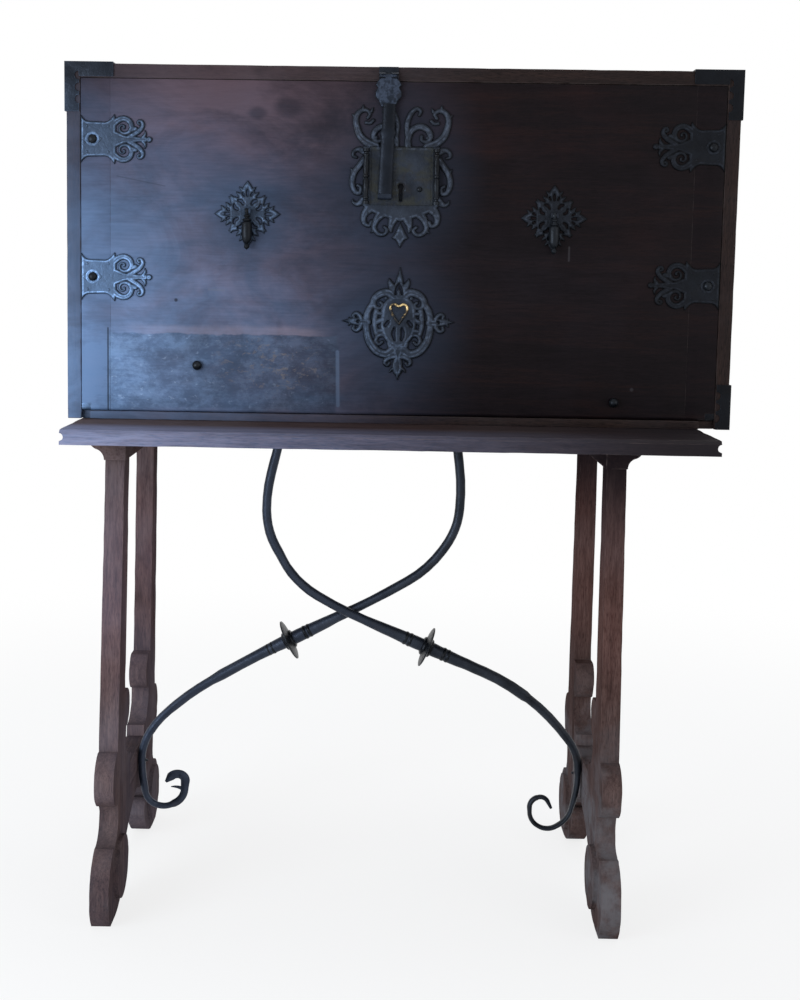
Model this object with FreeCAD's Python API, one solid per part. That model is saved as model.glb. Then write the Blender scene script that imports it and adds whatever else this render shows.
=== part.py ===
import FreeCAD, Part
import math
import os

# A drop-front writing chest on its trestle table. Millimetres, +Z up, front towards -Y.
# The origin is on the floor, under the middle of the chest's width and of the table's depth.

V = FreeCAD.Vector
X_AXIS = V(1, 0, 0)
Y_AXIS = V(0, 1, 0)
Z_AXIS = V(0, 0, 1)

# Chest
chest_width = 1050.0
chest_depth = 420.0
chest_height = 556.0
case_wall = 22.0
bottom_wall = 13.0
back_wall = 15.0
dovetail_pitch_wanted = 62.0
tail_root_share = 0.32
tail_tip_share = 0.62

# Fall front
front_wall = 24.0
front_gap = 0.8
hinge_setback = 5.0
cleat_width = 46.0
tongue_length = 10.0
tongue_wall = 8.0
pivot_radius = 3.0
pivot_slack = 0.05
pivot_bite = 14.0
shoe_length = 14.0
shoe_height = 11.0
notch_left = 13.0
notch_right = 24.0
notch_depth = 9.0

# Nest of drawers behind the front
nest_wall = 10.0
drawer_recess = 28.0
drawer_slack = 1.0
drawer_seat_gap = 0.3
drawer_back_gap = 8.0
drawer_front_wall = 12.0
drawer_side_wall = 8.0
drawer_bottom_wall = 6.0
drawer_headroom = 18.0
drawer_field_margin = 16.0
drawer_field_rise = 4.0
knob_length = 10.0
knob_radius = 9.0
column_width_shares = (0.3, 0.4, 0.3)
row_height_shares = (0.37, 0.34, 0.29)

# Table top
table_height = 800.0
table_wall = 23.0
table_depth = 636.0
table_inset_left = 22.0
table_inset_right = 47.0
table_reach = 176.0
end_groove_radius = 6.0
top_chamfer = 5.0

# Trestles
leg_thickness = 31.0
leg_spread = 275.0
leg_inset_left = 33.0
leg_inset_right = 114.0
leg_lean_left = 12.0
leg_lean_right = 2.0
batten_height = 37.0
batten_length = 392.0
batten_lip = 24.0
batten_heel = 4.0
rail_height = 43.0
rail_length = 150.0
rail_seat_height = 170.0
scroll_radius = 51.0
scroll_rise = 8.0

# Iron braces
brace_bar = 16.0
brace_gap = 0.3
brace_cross_gap = 1.2
brace_swell = 24.0
brace_head_left_share = 0.701
brace_head_right_share = 0.32
brace_contact_share = 0.465
collar_radius = 35.0
collar_hub_radius = 16.5
collar_length = 18.0
collar_edge = 4.0
collar_end_share = 0.9
lug_length = 46.0
lug_width = 30.0
lug_wall = 4.0
lug_nail_share = 0.36

# Flat ironwork
plate_wall = 2.0
lock_plate_wall = 2.5
strap_length = 112.0
strap_half = 39.0
diamond_half = 52.0
medallion_half = 89.0
lock_half_width = 80.0
lock_half_height = 110.0
lock_drop = 168.0
strap_low_share = 0.406
strap_high_share = 0.791
diamond_width_share = 0.478
diamond_height_share = 0.588
medallion_rise_share = 0.7
nail_half = 3.5
nail_rise = 2.0
strap_stud_radius = 9.0
strap_stud_rise = 6.0
front_stud_radius = 8.0
front_stud_rise = 11.5
front_stud_shares = ((-0.633, 0.158), (0.683, 0.072))
shell_width = 26.0
shell_height = 30.0
shell_rise = 5.0

# Lock, hasp and its hinge
hasp_offset = 22.0
hasp_setback = 4.5
hasp_wall = 3.0
hasp_arm_wall = 7.0
hasp_arm_width = 23.0
hasp_leaf_width = 42.0
hasp_hinge_drop = 14.0
hasp_leaf_height = 45.0
hasp_length = 190.0
hasp_bevel = 3.0
hasp_axis_setback = 7.0
knuckle_radius = 4.5
knuckle_length = 9.0
knuckle_gap = 0.3
hinge_pin_radius = 1.9
hook_slack = 0.3
lid_leaf_width = 30.0
hasp_scroll_share = 0.3
staple_width = 6.0
staple_height = 22.0
staple_depth = 9.0
staple_rise = 14.0
slot_clearance = 2.0
column_offset = 55.0
column_height = 86.0
column_radius = 5.0
keyhole_radius = 5.0
keyhole_slot_width = 6.0
keyhole_length = 28.0
keyhole_drop = 24.0
lock_case_width = 116.0
lock_case_height = 92.0
lock_case_depth = 12.0

# Drop pulls
pull_length = 60.0
pull_radius = 8.5
pull_axis_setback = 11.5
pull_eye_radius = 4.5
pull_eye_width = 5.0
pull_pin_radius = 1.8
pull_pin_slack = 0.08
ear_wall = 3.0
ear_gap = 0.4
ear_reach_share = 0.8

# Side handles
handle_height_share = 0.594
handle_width = 88.0
handle_drop = 50.0
handle_bar = 8.0
handle_pin_length = 24.0
handle_lug_wall = 6.0
handle_lug_height = 14.0
handle_axis_setback = 11.0
handle_bore_slack = 0.35
handle_plate_length = 150.0
handle_plate_width = 46.0
handle_bend_share = 0.4
handle_core_share = 0.8
handle_crest_share = 0.5

# Corner irons
corner_arm = 74.0
corner_flange = 34.0
corner_width = 20.0
corner_wall = 2.5
corner_scallop_radius = 7.0
corner_scallops = 3
corner_low_arm = 71.0

overrun = 2.0

# Flats: how many on a lobe, a bar and a turned piece, and the largest turn between two rings of a bar
lobe_sides = 8
bar_sides = 8
turned_sides = 10
collar_sides = 12
bend_step = math.radians(22)

# Places worked out from the sizes above
chest_front = table_reach - table_depth / 2
chest_back = chest_front + chest_depth
chest_base = table_height
chest_top = chest_base + chest_height
inner_half = chest_width / 2 - case_wall
inner_floor = chest_base + bottom_wall
inner_ceiling = chest_top - case_wall
front_half = inner_half - front_gap
front_floor = inner_floor + front_gap
front_ceiling = inner_ceiling - front_gap
front_inner = chest_front + front_wall
hinge_y = chest_front + hinge_setback
hinge_z = front_floor + hinge_setback
nest_front = front_inner + drawer_recess
nest_back = chest_back - back_wall
table_underside = table_height - table_wall
leg_height = table_underside - batten_height
table_left = table_inset_left - chest_width / 2
table_right = chest_width / 2 - table_inset_right
leg_left_x = table_left + leg_inset_left
leg_right_x = table_right - leg_inset_right
strap_heights = (chest_base + chest_height * strap_low_share, chest_base + chest_height * strap_high_share)
lock_z = chest_top - lock_drop
keyhole_z = lock_z - keyhole_drop
medallion_room = lock_z - lock_half_height - chest_base - 2 * medallion_half
medallion_z = chest_base + medallion_half + medallion_room * medallion_rise_share
diamond_x = front_half * diamond_width_share
diamond_z = chest_base + chest_height * diamond_height_share
hasp_hinge_z = chest_top - hasp_hinge_drop
hasp_hinge_y = chest_front - hasp_axis_setback
hasp_end_z = hasp_hinge_z - hasp_length
pull_axis_y = chest_front - pull_axis_setback
pull_axis_z = diamond_z + pull_eye_radius
chest_mid_y = chest_front + chest_depth / 2
handle_z = chest_base + chest_height * handle_height_share
handle_axis_x = chest_width / 2 + handle_axis_setback
brace_contact_height = rail_seat_height + rail_height * brace_contact_share


# Shapes used all over

def box(low, high):
    """A block between two corners."""
    size = high - low
    return Part.makeBox(size.x, size.y, size.z, low)


def ring(centre, u, v, radius, sides):
    """The corners of a regular outline in the plane of u and v, with flats square to both."""
    points = []
    for k in range(sides):
        angle = 2 * math.pi * (k + 0.5) / sides
        points.append(centre + u * (radius * math.cos(angle)) + v * (radius * math.sin(angle)))
    return points


def across_axis(axis):
    """Two directions square to an axis and to each other."""
    start = X_AXIS if abs(axis.dot(X_AXIS)) < 0.5 else Y_AXIS
    u = (start - axis * axis.dot(start)).normalize()
    return u, axis.cross(u)


def polygon_face(centre, radius, sides, axis):
    u, v = across_axis(axis)
    points = ring(centre, u, v, radius, sides)
    return Part.Face(Part.makePolygon(points + points[:1]))


def faceted(rings):
    """A solid with flats from each ring of corners to the next, closed by the first and last ring."""
    faces = [Part.Face(Part.makePolygon(end + end[:1])) for end in (rings[0], rings[-1])]
    for here, there in zip(rings, rings[1:]):
        for k in range(len(here)):
            after = (k + 1) % len(here)
            for corners in ([here[k], here[after], there[after]], [here[k], there[after], there[k]]):
                faces.append(Part.Face(Part.makePolygon(corners + corners[:1])))
    solid = Part.makeSolid(Part.makeShell(faces))
    return solid.removeSplitter()


def turned(stations, sides, base, axis):
    """A turned form with flats, through rings of (distance, radius) along an axis."""
    u, v = across_axis(axis)
    return faceted([ring(base + axis * along, u, v, radius, sides) for along, radius in stations])


def bar_along(points, widths, bend_share, swells=()):
    """A forged bar with flats: straight runs joined by arcs in one plane, each point with its width.

    A swell is the number of the point it follows, its place on the straight run and its width.
    """
    first = (points[1] - points[0]).normalize()
    last = (points[-1] - points[-2]).normalize()
    side = first.cross(points[2] - points[1]).normalize()
    stations = [(points[0], first, widths[0])]
    for before, here, after, width in zip(points, points[1:], points[2:], widths[1:]):
        way_in = (here - before).normalize()
        way_out = (after - here).normalize()
        reach = bend_share * min((here - before).Length, (after - here).Length)
        turn = way_in.getAngle(way_out)
        radius = reach / math.tan(turn / 2)
        inward = (way_out - way_in).normalize()
        centre = here + inward * (radius / math.cos(turn / 2))
        spoke = (here - way_in * reach - centre).normalize()
        steps = math.ceil(turn / bend_step)
        for k in range(steps + 1):
            angle = turn * k / steps
            place = centre + (spoke * math.cos(angle) + way_in * math.sin(angle)) * radius
            stations.append((place, way_in * math.cos(angle) - spoke * math.sin(angle), width))
        stations += [(place, way_out, swell) for index, place, swell in swells if points[index] is here]
    stations.append((points[-1], last, widths[-1]))
    rings = []
    for place, way, width in stations:
        corner = width / 2 / math.cos(math.pi / bar_sides)
        rings.append(ring(place, way.cross(side), side, corner, bar_sides))
    return faceted(rings)


def outline_face(start, steps):
    """A flat face from a start point and steps: one point for a line, two for an arc."""
    edges = []
    here = start
    for step in steps:
        if len(step) == 1:
            edges.append(Part.makeLine(here, step[0]))
        else:
            edges.append(Part.Arc(here, step[0], step[1]).toShape())
        here = step[-1]
    edges.append(Part.makeLine(here, start))
    return Part.Face(Part.Wire(edges))


def mirrored_x(shape):
    return shape.mirror(V(0, 0, 0), X_AXIS)


# Chest: five boards, dovetailed at the corners

def dovetails(side, low_z, high_z):
    """The tails of a level board that run through the side board on one side."""
    count = int(chest_depth / dovetail_pitch_wanted)
    pitch = chest_depth / count
    inner_x = side * inner_half
    outer_x = side * chest_width / 2
    tails = []
    for k in range(count):
        middle = chest_front + pitch * (k + 0.5)
        narrow = pitch * tail_root_share / 2
        wide = pitch * tail_tip_share / 2
        corners = [V(inner_x, middle - narrow, low_z), V(outer_x, middle - wide, low_z)]
        corners += [V(outer_x, middle + wide, low_z), V(inner_x, middle + narrow, low_z)]
        face = Part.Face(Part.makePolygon(corners + corners[:1]))
        tails.append(face.extrude(V(0, 0, high_z - low_z)))
    return tails


def level_board(low_z, high_z):
    low = V(-inner_half, chest_front, low_z)
    high = V(inner_half, chest_back, high_z)
    tails = dovetails(-1, low_z, high_z) + dovetails(1, low_z, high_z)
    return box(low, high).fuse(tails).removeSplitter()


def top_board():
    return level_board(inner_ceiling, chest_top)


def bottom_board():
    board = level_board(chest_base, inner_floor)
    edge = chest_front + notch_depth
    below = chest_base - overrun
    above = inner_floor + overrun
    left = box(V(-inner_half, chest_front - overrun, below), V(-inner_half + notch_left, edge, above))
    right = box(V(inner_half - notch_right, chest_front - overrun, below), V(inner_half, edge, above))
    return board.cut([left, right])


def side_board(side):
    near = side * inner_half
    far = side * chest_width / 2
    low = V(min(near, far), chest_front, chest_base)
    high = V(max(near, far), chest_back, chest_top)
    tails = dovetails(side, inner_ceiling, chest_top) + dovetails(side, chest_base, inner_floor)
    socket_start = V(near - side * overrun, hinge_y, hinge_z)
    socket = Part.makeCylinder(pivot_radius + pivot_slack, pivot_bite + overrun, socket_start, X_AXIS * side)
    return box(low, high).cut(tails + [socket])


def back_board():
    return box(V(-inner_half, nest_back, inner_floor), V(inner_half, chest_back, inner_ceiling))


# Nest of drawers

def nest_columns():
    """The left and right edge of each column of drawers."""
    free = 2 * inner_half - nest_wall * (len(column_width_shares) - 1)
    edges = []
    left = -inner_half
    for share in column_width_shares:
        edges.append((left, left + share * free))
        left += share * free + nest_wall
    return edges


def nest_rows():
    """The lower and upper edge of each row of drawers."""
    free = inner_ceiling - inner_floor - nest_wall * (len(row_height_shares) - 1)
    edges = []
    low = inner_floor
    for share in row_height_shares:
        edges.append((low, low + share * free))
        low += share * free + nest_wall
    return edges


def nest_partitions():
    walls = []
    for left, right in nest_columns()[:-1]:
        low = V(right, nest_front, inner_floor)
        walls.append(box(low, V(right + nest_wall, nest_back, inner_ceiling)))
    return Part.makeCompound(walls)


def nest_shelves():
    shelves = []
    for left, right in nest_columns():
        for low, high in nest_rows()[:-1]:
            shelves.append(box(V(left, nest_front, high), V(right, nest_back, high + nest_wall)))
    return Part.makeCompound(shelves)


def rectangle(left, right, y, low, high):
    return [V(left, y, low), V(right, y, low), V(right, y, high), V(left, y, high)]


def drawer(left, right, low, high):
    """A drawer of five boards and a knob, shut in its opening."""
    left += drawer_slack
    right -= drawer_slack
    low += drawer_seat_gap
    high -= drawer_slack
    back = nest_back - drawer_back_gap
    field_base = nest_front + drawer_field_rise
    box_front = nest_front + drawer_front_wall
    margin = drawer_field_margin
    back_ring = rectangle(left, right, box_front, low, high)
    edge_ring = rectangle(left, right, field_base, low, high)
    field_ring = rectangle(left + margin, right - margin, nest_front, low + margin, high - margin)
    front = faceted([back_ring, edge_ring, field_ring])
    floor = low + drawer_bottom_wall
    rim = high - drawer_headroom
    bottom = box(V(left, box_front, low), V(right, back, floor))
    side_left = box(V(left, box_front, floor), V(left + drawer_side_wall, back, rim))
    side_right = box(V(right - drawer_side_wall, box_front, floor), V(right, back, rim))
    back_low = V(left + drawer_side_wall, back - drawer_side_wall, floor)
    rear = box(back_low, V(right - drawer_side_wall, back, rim))
    knob_shares = ((0, 0.5), (0.35, 0.4), (0.6, 1.0), (0.85, 0.9), (1.0, 0.35))
    stations = [(knob_length * along, knob_radius * across) for along, across in knob_shares]
    knob = turned(stations, bar_sides, V((left + right) / 2, nest_front, (low + high) / 2), -Y_AXIS)
    return Part.makeCompound([front, bottom, side_left, side_right, rear, knob])


# Fall front: a board between two cleats, turning on pivots at its lower corners

def front_slab(left, right):
    """A length of the front, whose lower outer edge is rounded about the hinge axis."""
    corner_y = chest_front
    start = V(left, corner_y, front_ceiling)
    dip = hinge_setback * math.sqrt(0.5)
    arc_middle = V(left, hinge_y - dip, hinge_z - dip)
    steps = [(V(left, corner_y, hinge_z),), (arc_middle, V(left, hinge_y, front_floor))]
    steps += [(V(left, front_inner, front_floor),), (V(left, front_inner, front_ceiling),)]
    return outline_face(start, steps).extrude(V(right - left, 0, 0))


def tongue(side):
    """The tongue on one end of the board, and the groove for it in the cleat."""
    inner_x = front_half - cleat_width
    low_y = chest_front + (front_wall - tongue_wall) / 2
    ends = sorted((side * inner_x, side * (inner_x + tongue_length)))
    low = V(ends[0], low_y, front_floor + cleat_width)
    return box(low, V(ends[1], low_y + tongue_wall, front_ceiling - cleat_width))


def keyhole(front_y, back_y):
    top = keyhole_z + keyhole_length / 2
    low = V(-keyhole_slot_width / 2, front_y, keyhole_z - keyhole_length / 2)
    slot = box(low, V(keyhole_slot_width / 2, back_y, top - keyhole_radius))
    eye = polygon_face(V(0, front_y, top - keyhole_radius), keyhole_radius, bar_sides, Y_AXIS)
    return slot.fuse(eye.extrude(V(0, back_y - front_y, 0)))


def staple_slot(front_y, back_y):
    """The slot that the staple on the back of the hasp passes through."""
    x = -hasp_offset
    low_z = hasp_end_z + staple_rise
    half = staple_width / 2 + slot_clearance
    low = V(x - half, front_y, low_z - slot_clearance)
    return box(low, V(x + half, back_y, low_z + staple_height + slot_clearance))


def lock_case_block():
    low = V(-lock_case_width / 2, front_inner - lock_case_depth, keyhole_z - lock_case_height / 2)
    return box(low, V(lock_case_width / 2, front_inner, keyhole_z + lock_case_height / 2))


def front_panel():
    end = front_half - cleat_width
    slab = front_slab(-end, end).fuse([tongue(-1), tongue(1)]).removeSplitter()
    case_front = front_inner - lock_case_depth
    cuts = [lock_case_block(), keyhole(chest_front - overrun, case_front)]
    cuts.append(staple_slot(chest_front - overrun, case_front))
    return slab.cut(cuts)


def shoe_box(side):
    ends = sorted((side * front_half, side * (front_half - shoe_length)))
    low = V(ends[0], chest_front, front_floor)
    return box(low, V(ends[1], chest_front + shoe_height, front_floor + shoe_height))


def front_cleat(side):
    ends = sorted((side * front_half, side * (front_half - cleat_width)))
    return front_slab(ends[0], ends[1]).cut([tongue(side), shoe_box(side)])


def pivot_shoes():
    """Iron shoes let into the lower corners of the front, bored for the pivots."""
    shoes = []
    for side in (-1, 1):
        ends = sorted((side * front_half, side * (front_half - shoe_length)))
        bore_start = V(ends[0] - overrun, hinge_y, hinge_z)
        bore = Part.makeCylinder(pivot_radius + pivot_slack, shoe_length + 2 * overrun, bore_start, X_AXIS)
        shoes.append(front_slab(ends[0], ends[1]).common(shoe_box(side)).cut(bore))
    return Part.makeCompound(shoes)


def pivot_pins():
    pins = []
    for side in (-1, 1):
        start = V(side * (inner_half + pivot_bite), hinge_y, hinge_z)
        length = pivot_bite + front_gap + shoe_length
        pins.append(Part.makeCylinder(pivot_radius, length, start, X_AXIS * -side))
    return Part.makeCompound(pins)


# Pierced ironwork on the front: lobes, bars and chiselled holes in one flat plate

def lobe(u, v, radius, wall):
    corner = radius / math.cos(math.pi / lobe_sides)
    return polygon_face(V(u, 0, v), corner, lobe_sides, Y_AXIS).extrude(V(0, -wall, 0))


def piercing(u, v, radius, wall):
    face = polygon_face(V(u, overrun, v), radius, lobe_sides // 2, Y_AXIS)
    return face.extrude(V(0, -wall - 2 * overrun, 0))


def bar(u_low, u_high, v_low, v_high, wall):
    return box(V(u_low, -wall, v_low), V(u_high, 0, v_high))


def pierced(solids, holes):
    body = solids[0].fuse(solids[1:]).removeSplitter()
    return body.cut(holes)


strap_root_shares = (0.33, 0.72)
strap_neck_shares = (0.8, 0.2)
strap_lobe_shares = ((0.5, 0.5, 0.42), (0.5, 0.88, 0.12), (0.74, 0.36, 0.27))
strap_tip_shares = ((0.88, 0.24), (0.96, 0.115))
strap_hole_shares = ((0.5, 0.5, 0.22), (0.74, 0.38, 0.11))
strap_middle_hole_shares = ((0.42, 0.1), (0.64, 0.14), (0.87, 0.11))
strap_nail_shares = ((0.07, 0.5), (0.28, 0.52))
strap_stud_share = 0.15


def strap_plate():
    """One scrolled strap, its root at the left and its tip to the right."""
    length, half, wall = strap_length, strap_half, plate_wall
    root_end = length * strap_root_shares[0]
    root_half = half * strap_root_shares[1]
    neck_end = length * strap_neck_shares[0]
    neck_half = half * strap_neck_shares[1]
    solids = [bar(0, root_end, -root_half, root_half, wall), bar(0, neck_end, -neck_half, neck_half, wall)]
    holes = []
    for sign in (-1, 1):
        for along, across, radius in strap_lobe_shares:
            solids.append(lobe(length * along, sign * half * across, half * radius, wall))
        for along, across, radius in strap_hole_shares:
            holes.append(piercing(length * along, sign * half * across, half * radius, wall))
    for along, radius in strap_tip_shares:
        solids.append(lobe(length * along, 0, half * radius, wall))
    for along, radius in strap_middle_hole_shares:
        holes.append(piercing(length * along, 0, half * radius, wall))
    return pierced(solids, holes)


def strap_at(side, z):
    plate = strap_plate() if side < 0 else mirrored_x(strap_plate())
    return plate.translated(V(side * front_half, chest_front, z))


def quarter_turns(shape):
    return [shape.rotated(V(0, 0, 0), Y_AXIS, 90 * k) for k in range(4)]


diamond_core_share = 0.34
diamond_arm_shares = ((0.5, 0.0, 0.22), (0.72, 0.0, 0.16), (0.9, 0.0, 0.1), (0.42, 0.42, 0.21))
diamond_hole_shares = ((0.42, 0.42, 0.1), (0.52, 0.0, 0.08))


def diamond_plate():
    half, wall = diamond_half, plate_wall
    solids = [lobe(0, 0, half * diamond_core_share, wall)]
    holes = []
    for along, across, radius in diamond_arm_shares:
        solids += quarter_turns(lobe(half * along, half * across, half * radius, wall))
    for along, across, radius in diamond_hole_shares:
        holes += quarter_turns(piercing(half * along, half * across, half * radius, wall))
    return pierced(solids, holes)


medallion_core_share = 0.6
medallion_arm_shares = ((0.69, 0.0, 0.15), (0.86, 0.0, 0.1), (0.955, 0.0, 0.045))
medallion_hole_shares = ((0.46, 0.0, 0.085), (0.34, 0.34, 0.12), (0.2, 0.2, 0.06))


def medallion_plate():
    half, wall = medallion_half, plate_wall
    solids = [lobe(0, 0, half * medallion_core_share, wall)]
    holes = []
    for along, across, radius in medallion_arm_shares:
        solids += quarter_turns(lobe(half * along, half * across, half * radius, wall))
    for along, across, radius in medallion_hole_shares:
        holes += quarter_turns(piercing(half * along, half * across, half * radius, wall))
    return pierced(solids, holes).translated(V(0, chest_front, medallion_z))


def medallion_shell():
    """A heart-shaped shell standing on the middle of the medallion."""
    half = shell_width / 2
    low = V(0, 0, -shell_height / 2)
    top = shell_height / 2
    shoulder = top - half / 3
    steps = [(V(half, 0, shoulder),), (V(half / 2, 0, top), V(0, 0, shoulder))]
    steps += [(V(-half / 2, 0, top), V(-half, 0, shoulder))]
    heart = outline_face(low, steps).extrude(V(0, -shell_rise, 0))
    return heart.translated(V(0, chest_front - plate_wall, medallion_z + shell_height / 2))


lock_core_shares = (0.66, -0.62, 0.56)
lock_lobe_shares = ((0.26, 0.66, 0.25), (0.24, 0.86, 0.16), (0.62, 0.64, 0.24), (0.78, 0.8, 0.16),
                    (0.78, 0.26, 0.15), (0.8, -0.06, 0.2), (0.74, -0.38, 0.16), (0.56, -0.68, 0.18),
                    (0.3, -0.76, 0.17))
lock_hole_shares = ((0.26, 0.68, 0.11), (0.62, 0.66, 0.12), (0.8, -0.06, 0.09), (0.56, -0.68, 0.08),
                    (0.3, -0.76, 0.07))
lock_tail_shares = ((-0.74, 0.2), (-0.89, 0.11), (-0.97, 0.05), (0.83, 0.14), (0.95, 0.08))
lock_nail_shares = ((0.56, 0.44), (0.56, -0.52), (0.0, -0.7))


def lock_plate():
    across, up, wall = lock_half_width, lock_half_height, lock_plate_wall
    core_half = across * lock_core_shares[0]
    solids = [bar(-core_half, core_half, up * lock_core_shares[1], up * lock_core_shares[2], wall)]
    holes = []
    for sign in (-1, 1):
        for u, v, radius in lock_lobe_shares:
            solids.append(lobe(sign * across * u, up * v, across * radius, wall))
        for u, v, radius in lock_hole_shares:
            holes.append(piercing(sign * across * u, up * v, across * radius, wall))
    for v, radius in lock_tail_shares:
        solids.append(lobe(0, up * v, across * radius, wall))
    plate = pierced(solids, holes).translated(V(0, chest_front, lock_z))
    front = chest_front - lock_plate_wall - overrun
    back = chest_front + overrun
    return plate.cut([keyhole(front, back), staple_slot(front, back)])


column_shares = ((0.0, 1.0), (0.05, 1.0), (0.08, 0.6), (0.12, 0.95), (0.3, 0.7), (0.5, 0.95), (0.7, 0.7),
                 (0.88, 0.95), (0.92, 0.6), (0.95, 1.0), (1.0, 1.0))


def lock_columns():
    """Two turned columns that stand against the lock plate."""
    columns = []
    low_z = lock_z - column_height / 2
    stations = [(column_height * along, column_radius * across) for along, across in column_shares]
    flat = column_radius * math.cos(math.pi / bar_sides)
    for side in (-1, 1):
        base = V(side * column_offset, chest_front - lock_plate_wall - flat, low_z)
        columns.append(turned(stations, bar_sides, base, Z_AXIS))
    return Part.makeCompound(columns)


# Nails and studs

def nail(x, y, z):
    stations = [(0, nail_half), (nail_rise, nail_half / 3)]
    return turned(stations, bar_sides // 2, V(x, y, z), -Y_AXIS)


dome_shares = ((0.0, 1.0), (0.35, 0.92), (0.7, 0.7), (0.93, 0.4), (1.0, 0.12))


def stud(x, y, z, radius, rise):
    stations = [(rise * along, radius * across) for along, across in dome_shares]
    return turned(stations, turned_sides, V(x, y, z), -Y_AXIS)


def strap_spots(along_share, across_share):
    """Where one spot of the strap falls on each of the four straps."""
    spots = []
    for side in (-1, 1):
        for z in strap_heights:
            x = side * (front_half - strap_length * along_share)
            for sign in (-1, 1) if across_share else (1,):
                spots.append((x, z + sign * strap_half * across_share))
    return spots


def plate_nails():
    nails = []
    for along, across in strap_nail_shares:
        nails += [nail(x, chest_front - plate_wall, z) for x, z in strap_spots(along, across)]
    for side in (-1, 1):
        for sign in (-1, 1):
            reach = diamond_half * diamond_arm_shares[1][0]
            x = side * diamond_x + sign * reach
            nails.append(nail(x, chest_front - plate_wall, diamond_z))
    for sign in (-1, 1):
        reach = medallion_half * medallion_arm_shares[0][0]
        nails.append(nail(sign * reach, chest_front - plate_wall, medallion_z))
        nails.append(nail(0, chest_front - plate_wall, medallion_z + sign * reach))
    for u, v in lock_nail_shares:
        for sign in (-1, 1) if u else (1,):
            z = lock_z + lock_half_height * v
            nails.append(nail(sign * lock_half_width * u, chest_front - lock_plate_wall, z))
    return Part.makeCompound(nails)


def front_studs():
    studs = []
    for x, z in strap_spots(strap_stud_share, 0):
        studs.append(stud(x, chest_front - plate_wall, z, strap_stud_radius, strap_stud_rise))
    for across, up in front_stud_shares:
        x = front_half * across
        z = chest_base + chest_height * up
        studs.append(stud(x, chest_front, z, front_stud_radius, front_stud_rise))
    return Part.makeCompound(studs)


# Hasp and its hinge on the edge of the lid

def hasp_knuckle(middle_x, length):
    start = V(middle_x - length / 2, hasp_hinge_y, hasp_hinge_z)
    return Part.makeCylinder(knuckle_radius, length, start, X_AXIS)


def hasp():
    x = -hasp_offset
    front = chest_front - hasp_setback
    leaf_top = hasp_hinge_z
    leaf_low = hasp_hinge_z - hasp_leaf_height
    end = hasp_end_z
    arm_half = hasp_arm_width / 2
    leaf_half = hasp_leaf_width / 2
    shoulder = leaf_low + leaf_half
    step = knuckle_length / 2
    neck_z = hasp_hinge_z - knuckle_radius - knuckle_gap
    start = V(x - step, front, leaf_top)
    steps = [(V(x - step, front, neck_z),), (V(x - leaf_half, front, neck_z),)]
    steps += [(V(x - leaf_half, front, shoulder),), (V(x - arm_half, front, leaf_low),)]
    steps += [(V(x + arm_half, front, leaf_low),), (V(x + leaf_half, front, shoulder),)]
    steps += [(V(x + leaf_half, front, neck_z),), (V(x + step, front, neck_z),)]
    steps += [(V(x + step, front, leaf_top),)]
    leaf = outline_face(start, steps).extrude(V(0, -hasp_wall, 0))
    low = V(x - arm_half, front - hasp_arm_wall, end)
    arm = box(low, V(x + arm_half, front, leaf_low + arm_half))
    outer_edges = [edge for edge in arm.Edges if edge.BoundBox.YMax < front - hasp_arm_wall / 2]
    arm = arm.makeChamfer(hasp_bevel, outer_edges)
    curl = hasp_arm_width * hasp_scroll_share
    scroll_start = V(x - arm_half, front - hasp_arm_wall, end + curl)
    scroll = Part.makeCylinder(curl, hasp_arm_width, scroll_start, X_AXIS)
    staple_low = V(x - staple_width / 2, front, end + staple_rise)
    staple_high = V(x + staple_width / 2, chest_front + staple_depth, end + staple_rise + staple_height)
    pin_start = V(x - lid_leaf_width / 2, hasp_hinge_y, hasp_hinge_z)
    pin = Part.makeCylinder(hinge_pin_radius, lid_leaf_width, pin_start, X_AXIS)
    knuckle = hasp_knuckle(x, knuckle_length)
    return leaf.fuse([arm, scroll, knuckle, pin, box(staple_low, staple_high)]).removeSplitter()


def lid_leaf():
    """The leaf on the lid's edge, whose two hooks hold the ends of the hasp's pin."""
    x = -hasp_offset
    half = lid_leaf_width / 2
    low = V(x - half, chest_front - plate_wall, inner_ceiling + front_gap)
    leaf = box(low, V(x + half, chest_front, chest_top))
    length = (lid_leaf_width - knuckle_length) / 2 - knuckle_gap
    hooks = []
    for sign in (-1, 1):
        middle = x + sign * (half - length / 2)
        web_low = V(middle - length / 2, hasp_hinge_y, hasp_hinge_z - knuckle_radius / 2)
        web_high = V(middle + length / 2, chest_front, hasp_hinge_z + knuckle_radius / 2)
        hooks += [hasp_knuckle(middle, length), box(web_low, web_high)]
    room = hinge_pin_radius + hook_slack
    bore_start = V(x - half - overrun, hasp_hinge_y, hasp_hinge_z)
    bore = Part.makeCylinder(room, lid_leaf_width + 2 * overrun, bore_start, X_AXIS)
    mouth_low = bore_start + V(0, -knuckle_radius - overrun, -room)
    mouth = box(mouth_low, bore_start + V(lid_leaf_width + 2 * overrun, 0, room))
    return leaf.fuse(hooks).removeSplitter().cut([bore, mouth])


# Drop pulls in their staples

pull_shares = ((0.07, 0.32), (0.14, 0.5), (0.18, 0.34), (0.45, 0.55), (0.52, 0.75), (0.56, 0.5), (0.62, 0.8),
               (0.75, 1.0), (0.88, 0.8), (0.94, 0.4), (1.0, 0.25))


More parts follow.
